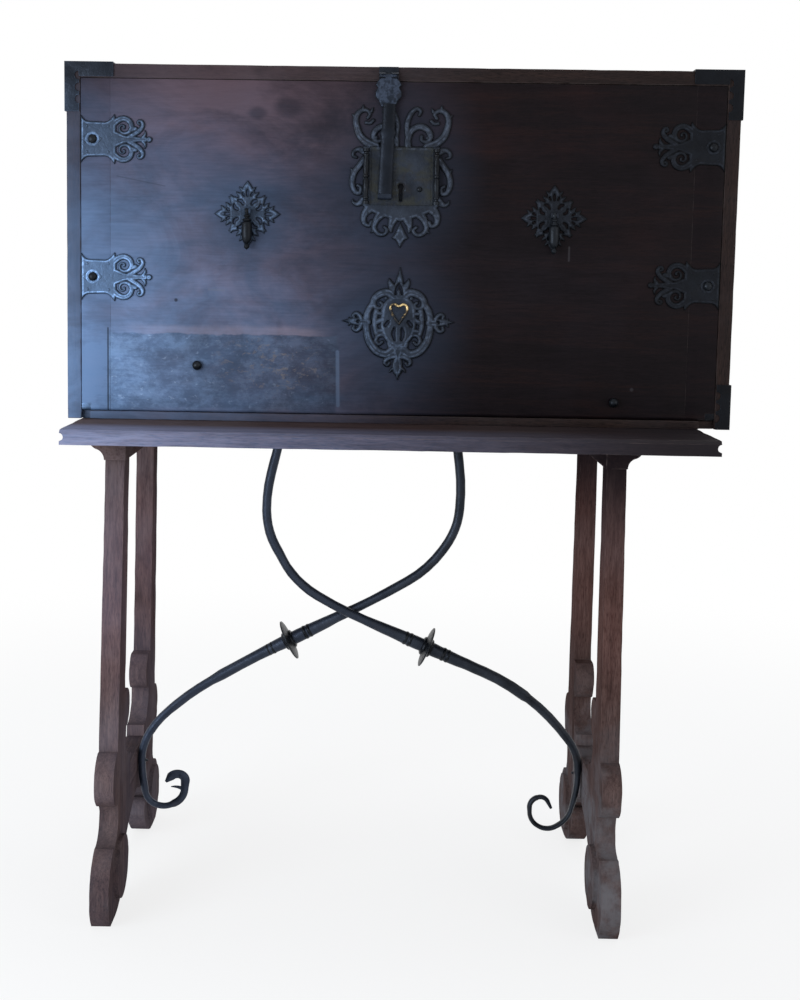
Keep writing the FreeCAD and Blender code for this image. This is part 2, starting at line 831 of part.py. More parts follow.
def drop_pull(side):
    """A turned drop with a bored eye, hanging from its pin."""
    axis_point = V(side * diamond_x, pull_axis_y, pull_axis_z)
    half_eye = pull_eye_width / 2
    eye = Part.makeCylinder(pull_eye_radius, pull_eye_width, axis_point - X_AXIS * half_eye, X_AXIS)
    stations = [(pull_length * along, pull_radius * across) for along, across in pull_shares]
    drop = turned(stations, turned_sides, axis_point, -Z_AXIS)
    bore_start = axis_point - X_AXIS * (half_eye + overrun)
    bore_length = pull_eye_width + 2 * overrun
    bore = Part.makeCylinder(pull_pin_radius + pull_pin_slack, bore_length, bore_start, X_AXIS)
    return eye.fuse(drop).cut(bore)


def pull_staples():
    """Two ears and a pin for each drop pull."""
    staples = []
    half_gap = pull_eye_width / 2 + ear_gap
    reach = pull_eye_radius * ear_reach_share
    for side in (-1, 1):
        x = side * diamond_x
        ears = []
        for sign in (-1, 1):
            ends = sorted((x + sign * half_gap, x + sign * (half_gap + ear_wall)))
            low = V(ends[0], pull_axis_y - reach, pull_axis_z - reach)
            ears.append(box(low, V(ends[1], chest_front - plate_wall, pull_axis_z + reach)))
        start = V(x - half_gap - ear_wall, pull_axis_y, pull_axis_z)
        pin = Part.makeCylinder(pull_pin_radius, 2 * (half_gap + ear_wall), start, X_AXIS)
        staples.append(pin.fuse(ears).removeSplitter())
    return Part.makeCompound(staples)


# Side handles

def handle(side):
    """A bail with its ends turned outwards through the two eyes."""
    x = side * handle_axis_x
    half = handle_width / 2
    pin_end = half + handle_pin_length
    low = handle_z - handle_drop
    route = [(-pin_end, handle_z), (-half, handle_z), (-half, low)]
    route += [(half, low), (half, handle_z), (pin_end, handle_z)]
    points = [V(x, chest_mid_y + along, z) for along, z in route]
    return bar_along(points, [handle_bar] * len(points), handle_bend_share)


def handle_plate(side):
    """The plate on the chest's side, with its two eyes."""
    face = side * chest_width / 2
    length, half = handle_plate_length / 2, handle_plate_width / 2
    core_half = half * handle_core_share
    core = bar(half - length, length - half, -core_half, core_half, plate_wall)
    ends = [lobe(sign * (length - half), 0, half, plate_wall) for sign in (-1, 1)]
    crests = [lobe(0, sign * core_half, half * handle_crest_share, plate_wall) for sign in (-1, 1)]
    plate = pierced([core] + ends + crests, [])
    plate = plate.rotated(V(0, 0, 0), Z_AXIS, 90 * side).translated(V(face, chest_mid_y, handle_z))
    eyes = []
    for sign in (-1, 1):
        middle = chest_mid_y + sign * (handle_width / 2 + handle_pin_length / 2)
        reach = handle_axis_setback + handle_lug_height / 2
        near = V(face, middle - handle_lug_wall / 2, handle_z - handle_lug_height / 2)
        far = V(face + side * reach, middle + handle_lug_wall / 2, handle_z + handle_lug_height / 2)
        low = V(min(near.x, far.x), near.y, near.z)
        high = V(max(near.x, far.x), far.y, far.z)
        eyes.append(box(low, high))
    bore_radius = handle_bar / 2 / math.cos(math.pi / bar_sides) + handle_bore_slack
    bore_start = V(side * handle_axis_x, chest_mid_y - handle_plate_length, handle_z)
    bore = Part.makeCylinder(bore_radius, 2 * handle_plate_length, bore_start, Y_AXIS)
    return plate.fuse(eyes).removeSplitter().cut(bore)


# Corner irons on three front corners of the case

def corner_arm_plates(side, low_z, high_z):
    """The front strip, with a scalloped inner edge, and the side flange of an upright arm."""
    outer_x = side * chest_width / 2
    front = chest_front - corner_wall
    inner_x = outer_x - side * corner_width
    strip_ends = sorted((outer_x, inner_x))
    strip = box(V(strip_ends[0], front, low_z), V(strip_ends[1], chest_front, high_z))
    pitch = (high_z - low_z) / (corner_scallops + 1)
    bites = []
    for k in range(corner_scallops):
        centre = V(inner_x, front - overrun, low_z + pitch * (k + 1))
        face = polygon_face(centre, corner_scallop_radius, lobe_sides, Y_AXIS)
        bites.append(face.extrude(V(0, corner_wall + 2 * overrun, 0)))
    flange_ends = sorted((outer_x, outer_x + side * corner_wall))
    low = V(flange_ends[0], front, low_z)
    flange = box(low, V(flange_ends[1], chest_front + corner_flange, high_z))
    return [strip.cut(bites), flange]


def top_corner(side):
    """An iron that wraps one upper front corner: front, side and lid."""
    face = side * chest_width / 2
    front = chest_front - corner_wall
    solids = corner_arm_plates(side, chest_top - corner_arm, chest_top)
    outer = face + side * corner_wall
    inner = face - side * corner_arm
    ends = sorted((outer, inner))
    low = V(ends[0], front, chest_top)
    solids.append(box(low, V(ends[1], chest_front + corner_flange, chest_top + corner_wall)))
    strip_ends = sorted((face - side * corner_width, inner))
    low = V(strip_ends[0], front, chest_top - corner_width)
    solids.append(box(low, V(strip_ends[1], chest_front, chest_top)))
    return solids[0].fuse(solids[1:]).removeSplitter()


def corner_irons():
    low_right = corner_arm_plates(1, chest_base, chest_base + corner_low_arm)
    low_right = low_right[0].fuse(low_right[1]).removeSplitter()
    return Part.makeCompound([top_corner(-1), top_corner(1), low_right])


# Table top, battens and lyre legs

def table_top():
    front = -table_depth / 2
    back = table_depth / 2
    slab = box(V(table_left, front, table_underside), V(table_right, back, table_height))
    top_edges = []
    for edge in slab.Edges:
        level = edge.BoundBox.ZMin > table_height - table_wall / 2
        if level and edge.BoundBox.XLength > table_wall:
            top_edges.append(edge)
    slab = slab.makeChamfer(top_chamfer, top_edges)
    middle = table_height - table_wall / 2
    length = table_depth + 2 * overrun
    grooves = []
    for x in (table_left, table_right):
        start = V(x, front - overrun, middle)
        grooves.append(Part.makeCylinder(end_groove_radius, length, start, Y_AXIS))
    return slab.cut(grooves)


def trestle(side):
    """The outer face at the floor and the lean of one trestle."""
    if side < 0:
        return leg_left_x, leg_lean_left
    return leg_right_x, leg_lean_right


def on_trestle(side, out, z):
    """A point of a trestle's outer face, which leans in towards the top."""
    foot_x, lean = trestle(side)
    return V(foot_x - side * lean * z / leg_height, out, z)


batten_ogee_shares = ((0.0, 0.08), (0.12, 0.28), (0.4, 0.44), (0.78, 0.58), (1.0, 0.86))


def batten(side):
    """The bar across the top of a trestle, moulded with an ogee along its outer edge."""
    outer = on_trestle(side, 0, leg_height).x
    lip = outer + side * batten_lip
    heel = outer - side * (leg_thickness + batten_heel)
    y = -batten_length / 2
    ogee = []
    for out, up in batten_ogee_shares:
        ogee.append(V(outer + side * batten_lip * out, y, leg_height + batten_height * up))
    start = V(heel, y, leg_height)
    steps = [(V(outer, y, leg_height),), (ogee[0],), (ogee[1], ogee[2]), (ogee[3], ogee[4])]
    steps += [(V(lip, y, table_underside),), (V(heel, y, table_underside),)]
    return outline_face(start, steps).extrude(V(0, batten_length, 0))


leg_outer_shares = (0.655, 0.74, 0.3676)
leg_knee_shares = ((0.765, 0.3676), (0.885, 0.306), (0.72, 0.246))
leg_neck_shares = ((0.695, 0.2), (0.8, 0.1635))
leg_foot_shares = ((0.84, 0.1635), (0.985, 0.09), (0.9, 0.0))
leg_sole_share = 0.745
leg_heel_shares = ((0.48, 0.031), (0.352, 0.078))
leg_eye_shares = ((0.372, 0.106), (0.455, 0.112))
leg_spur_shares = (0.365, 0.135)
leg_lobe_shares = ((0.24, 0.161), (0.0, 0.192))
leg_hollow_shares = ((0.3, 0.3135), (0.435, 0.345), (0.445, 0.392))
leg_bud_shares = ((0.41, 0.392), (0.33, 0.432), (0.4, 0.476))
leg_shaft_shares = ((0.505, 0.476), (0.49, 1.0))


def leg(side, facing):
    """One lyre-shaped leg, sawn from a board; facing is -1 for the front leg."""
    def at(shares):
        return on_trestle(side, facing * leg_spread * shares[0], leg_height * shares[1])
    rail_end = facing * rail_length / 2
    seat = rail_seat_height
    start = at((leg_outer_shares[0], 1.0))
    steps = [(at((leg_outer_shares[1], leg_outer_shares[2])),), (at(leg_knee_shares[0]),)]
    steps += [(at(leg_knee_shares[1]), at(leg_knee_shares[2]))]
    steps += [(at(leg_neck_shares[0]), at(leg_neck_shares[1])), (at(leg_foot_shares[0]),)]
    steps += [(at(leg_foot_shares[1]), at(leg_foot_shares[2])), (at((leg_sole_share, 0)),)]
    steps += [(at(leg_heel_shares[0]), at(leg_heel_shares[1]))]
    steps += [(at(leg_eye_shares[0]), at(leg_eye_shares[1])), (at(leg_spur_shares),)]
    steps += [(at(leg_lobe_shares[0]), at(leg_lobe_shares[1]))]
    steps += [(on_trestle(side, 0, seat),), (on_trestle(side, rail_end, seat),)]
    hollow_foot = leg_height * leg_hollow_shares[0][1]
    steps += [(on_trestle(side, rail_end, hollow_foot),), (at(leg_hollow_shares[0]),)]
    steps += [(at(leg_hollow_shares[1]), at(leg_hollow_shares[2])), (at(leg_bud_shares[0]),)]
    steps += [(at(leg_bud_shares[1]), at(leg_bud_shares[2])), (at(leg_shaft_shares[0]),)]
    steps += [(at(leg_shaft_shares[1]),)]
    inward = V(-side * leg_thickness, 0, 0)
    board = outline_face(start, steps).extrude(inward)
    scroll = leg_scroll(side, facing)
    return board.fuse(scroll).removeSplitter()


leg_scroll_shares = (0.65, 0.1)


def leg_scroll(side, facing):
    """The carved disc of the volute, standing on the inner side of the foot."""
    out = facing * leg_spread * leg_scroll_shares[0]
    z = leg_height * leg_scroll_shares[1]
    inner = V(-side * leg_thickness, 0, 0)
    centre = on_trestle(side, out, z) + inner
    normal = (on_trestle(side, out, leg_height) - on_trestle(side, out, 0)).cross(Y_AXIS).normalize()
    disc = Part.Face(Part.Wire(Part.makeCircle(scroll_radius, centre, normal)))
    return disc.extrude(V(-side * scroll_rise, 0, 0))


def rail(side):
    """The short rail between the two legs of a trestle, on which the brace is nailed."""
    half = rail_length / 2
    low = rail_seat_height
    high = low + rail_height
    corners = [on_trestle(side, -half, low), on_trestle(side, half, low)]
    corners += [on_trestle(side, half, high), on_trestle(side, -half, high)]
    face = Part.Face(Part.makePolygon(corners + corners[:1]))
    return face.extrude(V(-side * leg_thickness, 0, 0))


# Forged braces, crossed under the table

brace_right_upper_shares = ((-0.048, 0.815), (-0.047, 0.705), (0.0465, 0.552), (0.2, 0.473),
                            (0.75, 0.27), (0.885, 0.183), (0.978, 0.085), (1, 0.035))
brace_right_lower_shares = ((1, 0.8588), (0.972, 0.56), (0.905, 0.45), (0.845, 0.535), (0.842, 0.735),
                            (0.892, 0.785), (0.915, 0.665))
brace_left_upper_shares = ((-0.024, 0.8345), (-0.013, 0.7075), (0.077, 0.591), (0.231, 0.507),
                           (0.653, 0.312), (0.835, 0.212), (0.948, 0.124), (1, 0.047))
brace_left_lower_shares = ((1, 0.8588), (0.982, 0.62), (0.93, 0.555), (0.862, 0.635), (0.856, 0.86),
                           (0.893, 0.885), (0.921, 0.8))
brace_width_shares = (1, 1, 1, 1, 1, 1.18, 0.97, 0.9, 0.86, 0.86, 0.82, 0.77, 0.74, 0.78, 0.8, 0.35)
brace_contact_number = 8
collar_run_number = 4
collar_right_share = 0.522
collar_left_share = 0.69
brace_bend_share = 0.48


def brace_y(side):
    """The braces pass each other side by side."""
    return -side * (brace_bar + brace_cross_gap) / 2


def brace_points(side):
    """The route of a brace from under the top to the rail of the trestle on one side."""
    upper_shares = brace_right_upper_shares if side > 0 else brace_left_upper_shares
    lower_shares = brace_right_lower_shares if side > 0 else brace_left_lower_shares
    head_share = brace_head_right_share if side > 0 else brace_head_left_share
    span_left = on_trestle(-1, 0, brace_contact_height).x + leg_thickness
    span_right = on_trestle(1, 0, brace_contact_height).x - leg_thickness
    top_x = span_left + (span_right - span_left) * head_share
    face = span_right if side > 0 else span_left
    contact_width = brace_bar * brace_width_shares[brace_contact_number]
    reach = face - side * (contact_width / 2 + brace_gap) - top_x
    y = brace_y(side)
    points = [V(top_x, y, table_underside)]
    rise = table_underside - brace_contact_height
    for along, up in upper_shares:
        points.append(V(top_x + reach * along, y, brace_contact_height + rise * up))
    for along, up in lower_shares:
        points.append(V(top_x + reach * along, y, brace_contact_height * up))
    return points


def collar_place(side):
    """Where the collar sits on the brace's straight run, and the way the run goes."""
    points = brace_points(side)
    share = collar_right_share if side > 0 else collar_left_share
    run = points[collar_run_number + 1] - points[collar_run_number]
    return points[collar_run_number] + run * share, run.normalize()


def brace(side):
    """One brace, swelling towards its collar and thinner towards its curled tip."""
    points = brace_points(side)
    widths = [brace_bar * share for share in brace_width_shares]
    reach = V(brace_bar, brace_bar, 0)
    above = box(points[0] - reach - V(0, 0, lug_wall), points[0] + reach + V(0, 0, brace_bar))
    swell = (collar_run_number, collar_place(side)[0], brace_swell)
    return bar_along(points, widths, brace_bend_share, [swell]).cut(above)


def brace_collars():
    collars = []
    for side in (-1, 1):
        centre, way = collar_place(side)
        half, edge = collar_length / 2, collar_edge / 2
        end_radius = collar_hub_radius * collar_end_share
        stations = [(-half, end_radius), (-edge * 2, collar_hub_radius), (-edge, collar_radius)]
        stations += [(edge, collar_radius), (edge * 2, collar_hub_radius), (half, end_radius)]
        bore_radius = brace_swell / 2 / math.cos(math.pi / bar_sides) + brace_gap
        start = centre - way * collar_length
        bore = turned([(0, bore_radius), (2 * collar_length, bore_radius)], bar_sides, start, way)
        collars.append(turned(stations, collar_sides, centre, way).cut(bore))
    return Part.makeCompound(collars)


def brace_lugs():
    """The flattened feet of the braces under the table top."""
    lugs = []
    for side in (-1, 1):
        head = brace_points(side)[0]
        low = V(head.x - lug_length / 2, head.y - lug_width / 2, table_underside - lug_wall)
        lugs.append(box(low, low + V(lug_length, lug_width, lug_wall)))
    return Part.makeCompound(lugs)


def brace_nails():
    """Nail heads that hold the lugs to the top and the braces to the rails."""
    nails = []
    for side in (-1, 1):
        head = brace_points(side)[0]
        for sign in (-1, 1):
            place = V(head.x + sign * lug_length * lug_nail_share, head.y, table_underside - lug_wall)
            stations = [(0, nail_half), (nail_rise, nail_half / 3)]
            nails.append(turned(stations, bar_sides // 2, place, -Z_AXIS))
        face = on_trestle(side, 0, brace_contact_height).x - side * leg_thickness
        contact_width = brace_bar * brace_width_shares[brace_contact_number]
        x = face - side * (contact_width + 2 * brace_gap)
        y = brace_y(side)
        stations = [(0, nail_half), (nail_rise * 2, nail_half / 3)]
        nails.append(turned(stations, bar_sides // 2, V(x, y, brace_contact_height), X_AXIS * -side))
    return Part.makeCompound(nails)


# All pieces by name

def pieces():
    parts = {"table_top": table_top(), "top_board": top_board(), "bottom_board": bottom_board()}
    parts["back_board"] = back_board()
    parts["nest_shelves"] = nest_shelves()
    parts["nest_partitions"] = nest_partitions()
    parts["pivot_pins"] = pivot_pins()
    parts["pivot_shoes"] = pivot_shoes()
    parts["front_panel"] = front_panel()
    parts["lock_case"] = lock_case_block()
    parts["lock_plate"] = lock_plate()
    parts["lock_columns"] = lock_columns()
    parts["medallion_plate"] = medallion_plate()
    parts["medallion_shell"] = medallion_shell()
    parts["plate_nails"] = plate_nails()
    parts["front_studs"] = front_studs()
    parts["pull_staples"] = pull_staples()
    parts["hasp"] = hasp()
    parts["lid_leaf"] = lid_leaf()
    parts["corner_irons"] = corner_irons()
    parts["brace_collars"] = brace_collars()
    parts["brace_lugs"] = brace_lugs()
    parts["brace_nails"] = brace_nails()
    for side, name in ((-1, "left"), (1, "right")):
        parts["side_board_" + name] = side_board(side)
        parts["front_cleat_" + name] = front_cleat(side)
        parts["strap_upper_" + name] = strap_at(side, strap_heights[1])
        parts["strap_lower_" + name] = strap_at(side, strap_heights[0])
        place = V(side * diamond_x, chest_front, diamond_z)
        parts["diamond_plate_" + name] = diamond_plate().translated(place)
        parts["pull_" + name] = drop_pull(side)
        parts["handle_" + name] = handle(side)
        parts["handle_plate_" + name] = handle_plate(side)
        parts["batten_" + name] = batten(side)
        parts["leg_front_" + name] = leg(side, -1)
        parts["leg_back_" + name] = leg(side, 1)
        parts["rail_" + name] = rail(side)
        parts["brace_" + name] = brace(side)
    for column, column_name in enumerate(("left", "middle", "right")):
        left, right = nest_columns()[column]
        for row, (low, high) in enumerate(nest_rows()):
            parts["drawer_%s_%d" % (column_name, row + 1)] = drawer(left, right, low, high)
    return parts


os.makedirs("parts", exist_ok=True)
for node, shape in sorted(pieces().items()):
    shape.exportStep("parts/%s.step" % node)
    box_here = shape.BoundBox
    print(node, len(shape.Solids), shape.isValid(), round(box_here.XLength, 1), round(box_here.YLength, 1),
          round(box_here.ZLength, 1))
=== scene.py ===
import math

import bmesh
import bpy
import numpy as np
from mathutils import Matrix, Vector, noise


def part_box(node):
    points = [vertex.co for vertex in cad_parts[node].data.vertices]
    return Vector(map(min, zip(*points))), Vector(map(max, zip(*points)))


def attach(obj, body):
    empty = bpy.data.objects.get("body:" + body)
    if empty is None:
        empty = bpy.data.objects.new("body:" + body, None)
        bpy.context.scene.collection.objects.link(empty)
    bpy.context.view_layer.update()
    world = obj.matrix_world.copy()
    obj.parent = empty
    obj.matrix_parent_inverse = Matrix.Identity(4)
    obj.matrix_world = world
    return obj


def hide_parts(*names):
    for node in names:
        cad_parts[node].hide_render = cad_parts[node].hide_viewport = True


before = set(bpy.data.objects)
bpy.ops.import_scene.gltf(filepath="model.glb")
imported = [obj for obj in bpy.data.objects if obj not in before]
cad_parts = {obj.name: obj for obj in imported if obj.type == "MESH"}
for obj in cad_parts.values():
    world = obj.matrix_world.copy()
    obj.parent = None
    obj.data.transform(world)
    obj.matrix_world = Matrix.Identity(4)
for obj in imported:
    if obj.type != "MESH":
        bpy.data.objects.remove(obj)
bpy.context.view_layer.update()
MM = 0.001

# Camera, fitted to the corners of the chest, the table and the legs

camera_place = Vector((-0.032745, -2.564604, 1.037315))
camera_yaw = math.radians(-1.156)
camera_pitch = math.radians(6.503)
camera_roll = math.radians(0.911)
camera_lens = 55.02
camera_shift = (0.0554, -0.0527)


def make_camera():
    data = bpy.data.cameras.new("camera")
    data.lens = camera_lens
    data.shift_x, data.shift_y = camera_shift
    data.clip_start = 0.05
    data.clip_end = 60.0
    camera = bpy.data.objects.new("camera", data)
    bpy.context.collection.objects.link(camera)
    sw, cw = math.sin(camera_yaw), math.cos(camera_yaw)
    sp, cp = math.sin(camera_pitch), math.cos(camera_pitch)
    right = Vector((cw, -sw, 0.0))
    forward = Vector((sw * cp, cw * cp, -sp))
    up = Vector((sw * sp, cw * sp, cp))
    turned_right = right * math.cos(camera_roll) + up * math.sin(camera_roll)
    turned_up = up * math.cos(camera_roll) - right * math.sin(camera_roll)
    rows = Matrix((turned_right, turned_up, -forward)).transposed()
    camera.matrix_world = Matrix.Translation(camera_place) @ rows.to_4x4()
    bpy.context.scene.camera = camera


# Node materials

class Value:
    """A number that a node gives, to be reckoned with."""

    def __init__(self, net, socket):
        self.net, self.socket = net, socket

    def sums(self, operation, first, second=0.0):
        node = self.net.add("ShaderNodeMath", {"operation": operation})
        self.net.feed(node.inputs[0], first)
        self.net.feed(node.inputs[1], second)
        return Value(self.net, node.outputs[0])

    def __add__(self, other):
        return self.sums("ADD", self, other)

    def __sub__(self, other):
        return self.sums("SUBTRACT", self, other)

    def __rsub__(self, other):
        return self.sums("SUBTRACT", other, self)

    def __mul__(self, other):
        return self.sums("MULTIPLY", self, other)

    def __pow__(self, other):
        return self.sums("POWER", self, other)

    def __abs__(self):
        return self.sums("ABSOLUTE", self)

    def most(self, other):
        return self.sums("MAXIMUM", self, other)

    def less(self, spot, share):
        """The value without a share of itself where the spot is 1."""
        return self * (1.0 - spot * share)

    def span(self, low, high, to_low=0.0, to_high=1.0, way="SMOOTHSTEP"):
        """The way from low to high, eased at both ends, as a number from to_low to to_high."""
        node = self.net.add("ShaderNodeMapRange", {"interpolation_type": way}, Value=self, From_Min=low,
                            From_Max=high, To_Min=to_low, To_Max=to_high)
        return Value(self.net, node.outputs["Result"])

    def linear(self, *numbers):
        return self.span(*numbers, way="LINEAR")


class Net:
    """A small helper that writes the nodes of a material or of the world."""

    def __init__(self, owner):
        owner.use_nodes = True
        self.tree = owner.node_tree

    def add(self, kind, settings=None, **inputs):
        node = self.tree.nodes.new(kind)
        for key, value in (settings or {}).items():
            setattr(node, key, value)
        for key, value in inputs.items():
            self.feed(node.inputs[key.replace("_", " ")], value)
        return node

    def feed(self, socket, value):
        if isinstance(value, Value):
            value = value.socket
        if isinstance(value, bpy.types.NodeSocket):
            self.tree.links.new(value, socket)
        else:
            socket.default_value = value

    def mixed(self, share, colour, rgb, blend="MIX"):
        """A colour with a share of another mixed in."""
        node = self.add("ShaderNodeMix", {"data_type": "RGBA", "blend_type": blend})
        for socket, value in ((0, share), (6, colour), (7, (*rgb, 1.0))):
            self.feed(node.inputs[socket], value)
        return node.outputs[2]

    def added(self, share, colour, rgb):
        return self.mixed(share, colour, rgb, "ADD")

    def ramp(self, value, stops):
        node = self.add("ShaderNodeValToRGB", None, Fac=value)
        colours = node.color_ramp.elements
        while len(colours) < len(stops):
            colours.new(0.5)
        for element, (place, colour) in zip(colours, stops):
            element.position = place
            element.color = (*colour, 1.0)
        return node.outputs["Color"]

    def seen(self):
        """1 for the camera and for mirrors, 0 for plain light."""
        path = self.add("ShaderNodeLightPath").outputs
        kinds = ("Camera", "Glossy", "Transmission")
        camera, glossy, clear = [Value(self, path["Is %s Ray" % kind]) for kind in kinds]
        return camera.most(glossy.most(clear))

    def show(self, share, first, second, output):
        """Sends a blend of two shaders to the output."""
        mix = self.add("ShaderNodeMixShader")
        for socket, value in zip(mix.inputs, (share, first, second)):
            self.feed(socket, value)
        self.feed(self.tree.nodes[output].inputs["Surface"], mix.outputs[0])


class Surface(Net):
    """The nodes of one material, with each point's place in metres."""

    def __init__(self, name):
        self.material = bpy.data.materials.new(name)
        super().__init__(self.material)
        self.shader = self.tree.nodes["Principled BSDF"]
        self.place = self.add("ShaderNodeTexCoord").outputs["Object"]
        split = self.add("ShaderNodeSeparateXYZ", Vector=self.place)
        self.x, self.y, self.z = [Value(self, socket) for socket in split.outputs]

    def finish(self, colour, rough, specular=None, metal=None):
        for key, value in (("Base Color", colour), ("Roughness", rough), ("Specular IOR Level", specular),
                           ("Metallic", metal)):
            if value is not None:
                self.feed(self.shader.inputs[key], value)
        return self.material

    def stretched(self, scales):
        return self.add("ShaderNodeMapping", Vector=self.place, Scale=scales).outputs["Vector"]

    def noise(self, vector, scale, detail=4.0, rough=0.55, twist=0.0):
        node = self.add("ShaderNodeTexNoise", None, Vector=vector, Scale=scale, Detail=detail, Roughness=rough,
                        Distortion=twist)
        return Value(self, node.outputs["Fac"])

    def clouds(self, flat, *numbers):
        """Noise that is pressed flat, as the grain of the front runs."""
        return self.noise(self.stretched((1.0, 1.0, flat)), *numbers)

    def attribute(self, name):
        node = self.add("ShaderNodeAttribute", {"attribute_name": name})
        return Value(self, node.outputs["Fac"])

    def near(self, x, z, reach_x, reach_z):
        """1 around a place on the front, fading out towards the reach."""
        return distance((self.x - x) * (1.0 / reach_x), (self.z - z) * (1.0 / reach_z)).span(1.0, 0.35)

    def line(self, start, end, width):
        """1 on a thin line between two places on the front."""
        run_x, run_z = end[0] - start[0], end[1] - start[1]
        square = max(run_x ** 2 + run_z ** 2, 1e-12)
        off_x, off_z = self.x - start[0], self.z - start[1]
        along = (off_x * (run_x / square) + off_z * (run_z / square)).linear(0.0, 1.0)
        return distance(off_x - along * run_x, off_z - along * run_z).span(width, 0.35 * width)

    def relief(self, height, strength, depth):
        node = self.add("ShaderNodeBump", None, Height=height, Strength=strength, Distance=depth)
        self.feed(self.shader.inputs["Normal"], node.outputs["Normal"])


def distance(off_x, off_z):
    return (off_x * off_x + off_z * off_z) ** 0.5


def lighter(rgb, share):
    return tuple(share * c for c in rgb)


# Painted light on the front: a bluish painted sheen of window light, strong low on the left, and a warm tint above it

painted_sheen_colour = (0.12, 0.21, 0.37)
warm_tint_colour = (0.078, 0.049, 0.057)


def sheen_and_tint(net):
    """How much of the painted bluish sheen and of the warm tint lies at each place of the front."""
    ahead = net.y.span(-0.124, -0.139)
    soft = net.clouds(1.5, 6.5, 5.0, 0.66, 0.6).span(0.3, 0.7, 0.68, 1.3)
    painted_sheen = net.x.linear(0.15, -0.5) ** 1.9 * net.z.linear(1.34, 0.84, 0.04, 1.22) * ahead * soft
    cloud = net.clouds(1.7, 5.2, 5.0, 0.66, 0.5).span(0.33, 0.66, 0.3, 1.25)
    warm = (net.x.span(0.13, -0.25) * net.x.span(-0.54, -0.33, 0.2, 1.0) * ahead * cloud
            * abs(net.z - 1.12).span(0.02, 0.16, 0.5, 0.82))
    return painted_sheen, warm, ahead


grain_axes = {"x": (1.0, 14.0, 14.0), "z": (14.0, 14.0, 1.0), "y": (14.0, 1.0, 14.0)}


def wood(name, axis, tones, dust_share, worn=(0.16, 0.12, 0.11), rough=(0.42, 0.62), specular=0.1, pore=0.75,
         extra=None):
    """Old walnut with its grain along one axis, darker pores, dusty patches and rubbed edges."""
    dark, middle, light, dust = tones
    net = Surface(name)
    across = grain_axes[axis]
    fine_grain = net.stretched(tuple(6.0 * s for s in across))
    figure = net.noise(net.stretched(across), 2.3, 6.0, 0.6, 0.7)
    streaks = net.noise(fine_grain, 3.1, 5.0, 0.65, 0.2)
    pores = net.noise(fine_grain, 13.0, 2.0, 0.5)
    clouds = net.noise(net.place, 3.4, 4.0, 0.6, 0.4)
    colour = net.ramp(streaks * 0.45 + figure * 0.55, ((0.3, dark), (0.5, middle), (0.7, light)))
    colour = net.mixed(pores.span(0.36, 0.5, pore, 0.0), colour, lighter(dark, 0.35))
    dusty = clouds.span(0.42, 0.66) * streaks.span(0.3, 0.62, 0.35, 1.0) * dust_share
    colour = net.mixed(dusty, colour, dust)
    height = pores * 0.5 + streaks * 0.6
    if extra:
        colour, height = extra(net, colour, height, streaks)
    edge = net.attribute("wear_and_highlight") * net.noise(net.place, 45.0, 3.0).span(0.35, 0.65)
    net.relief(height, 0.35, 0.0009)
    return net.finish(net.mixed(edge * 0.6, colour, worn), clouds.span(0.3, 0.7, *rough), specular)


# Places (x, z) in metres on the front

iron_halos = ((0.0, 1.19, 0.15, 0.2), (0.0, 0.96, 0.14, 0.14), (-0.24, 1.12, 0.09, 0.09))
dark_blots = ((-0.178, 1.292, 0.03, 0.022), (-0.225, 1.283, 0.02, 0.014))
front_scratches = (
    ((-0.4456, 1.183), (-0.37, 1.1686), 0.0013, 0.3, (0.02, 0.024, 0.036)),
    ((-0.3, 1.008), (-0.276, 1.007), 0.0022, 0.4, (0.13, 0.14, 0.18)),
    ((-0.3521, 0.9908), (-0.3521, 0.9908), 0.004, 0.8, (0.01, 0.011, 0.015)),
    ((-0.0955, 0.913), (-0.0935, 0.828), 0.0042, 0.55, (0.11, 0.15, 0.23)),
    ((-0.4602, 0.945), (-0.4602, 0.81), 0.0016, 0.85, (0.02, 0.025, 0.035)),
    ((0.2655, 1.083), (0.2655, 1.062), 0.0022, 0.7, (0.04, 0.036, 0.04)),
    ((0.371, 0.861), (0.371, 0.861), 0.004, 0.6, (0.05, 0.045, 0.05)),
)


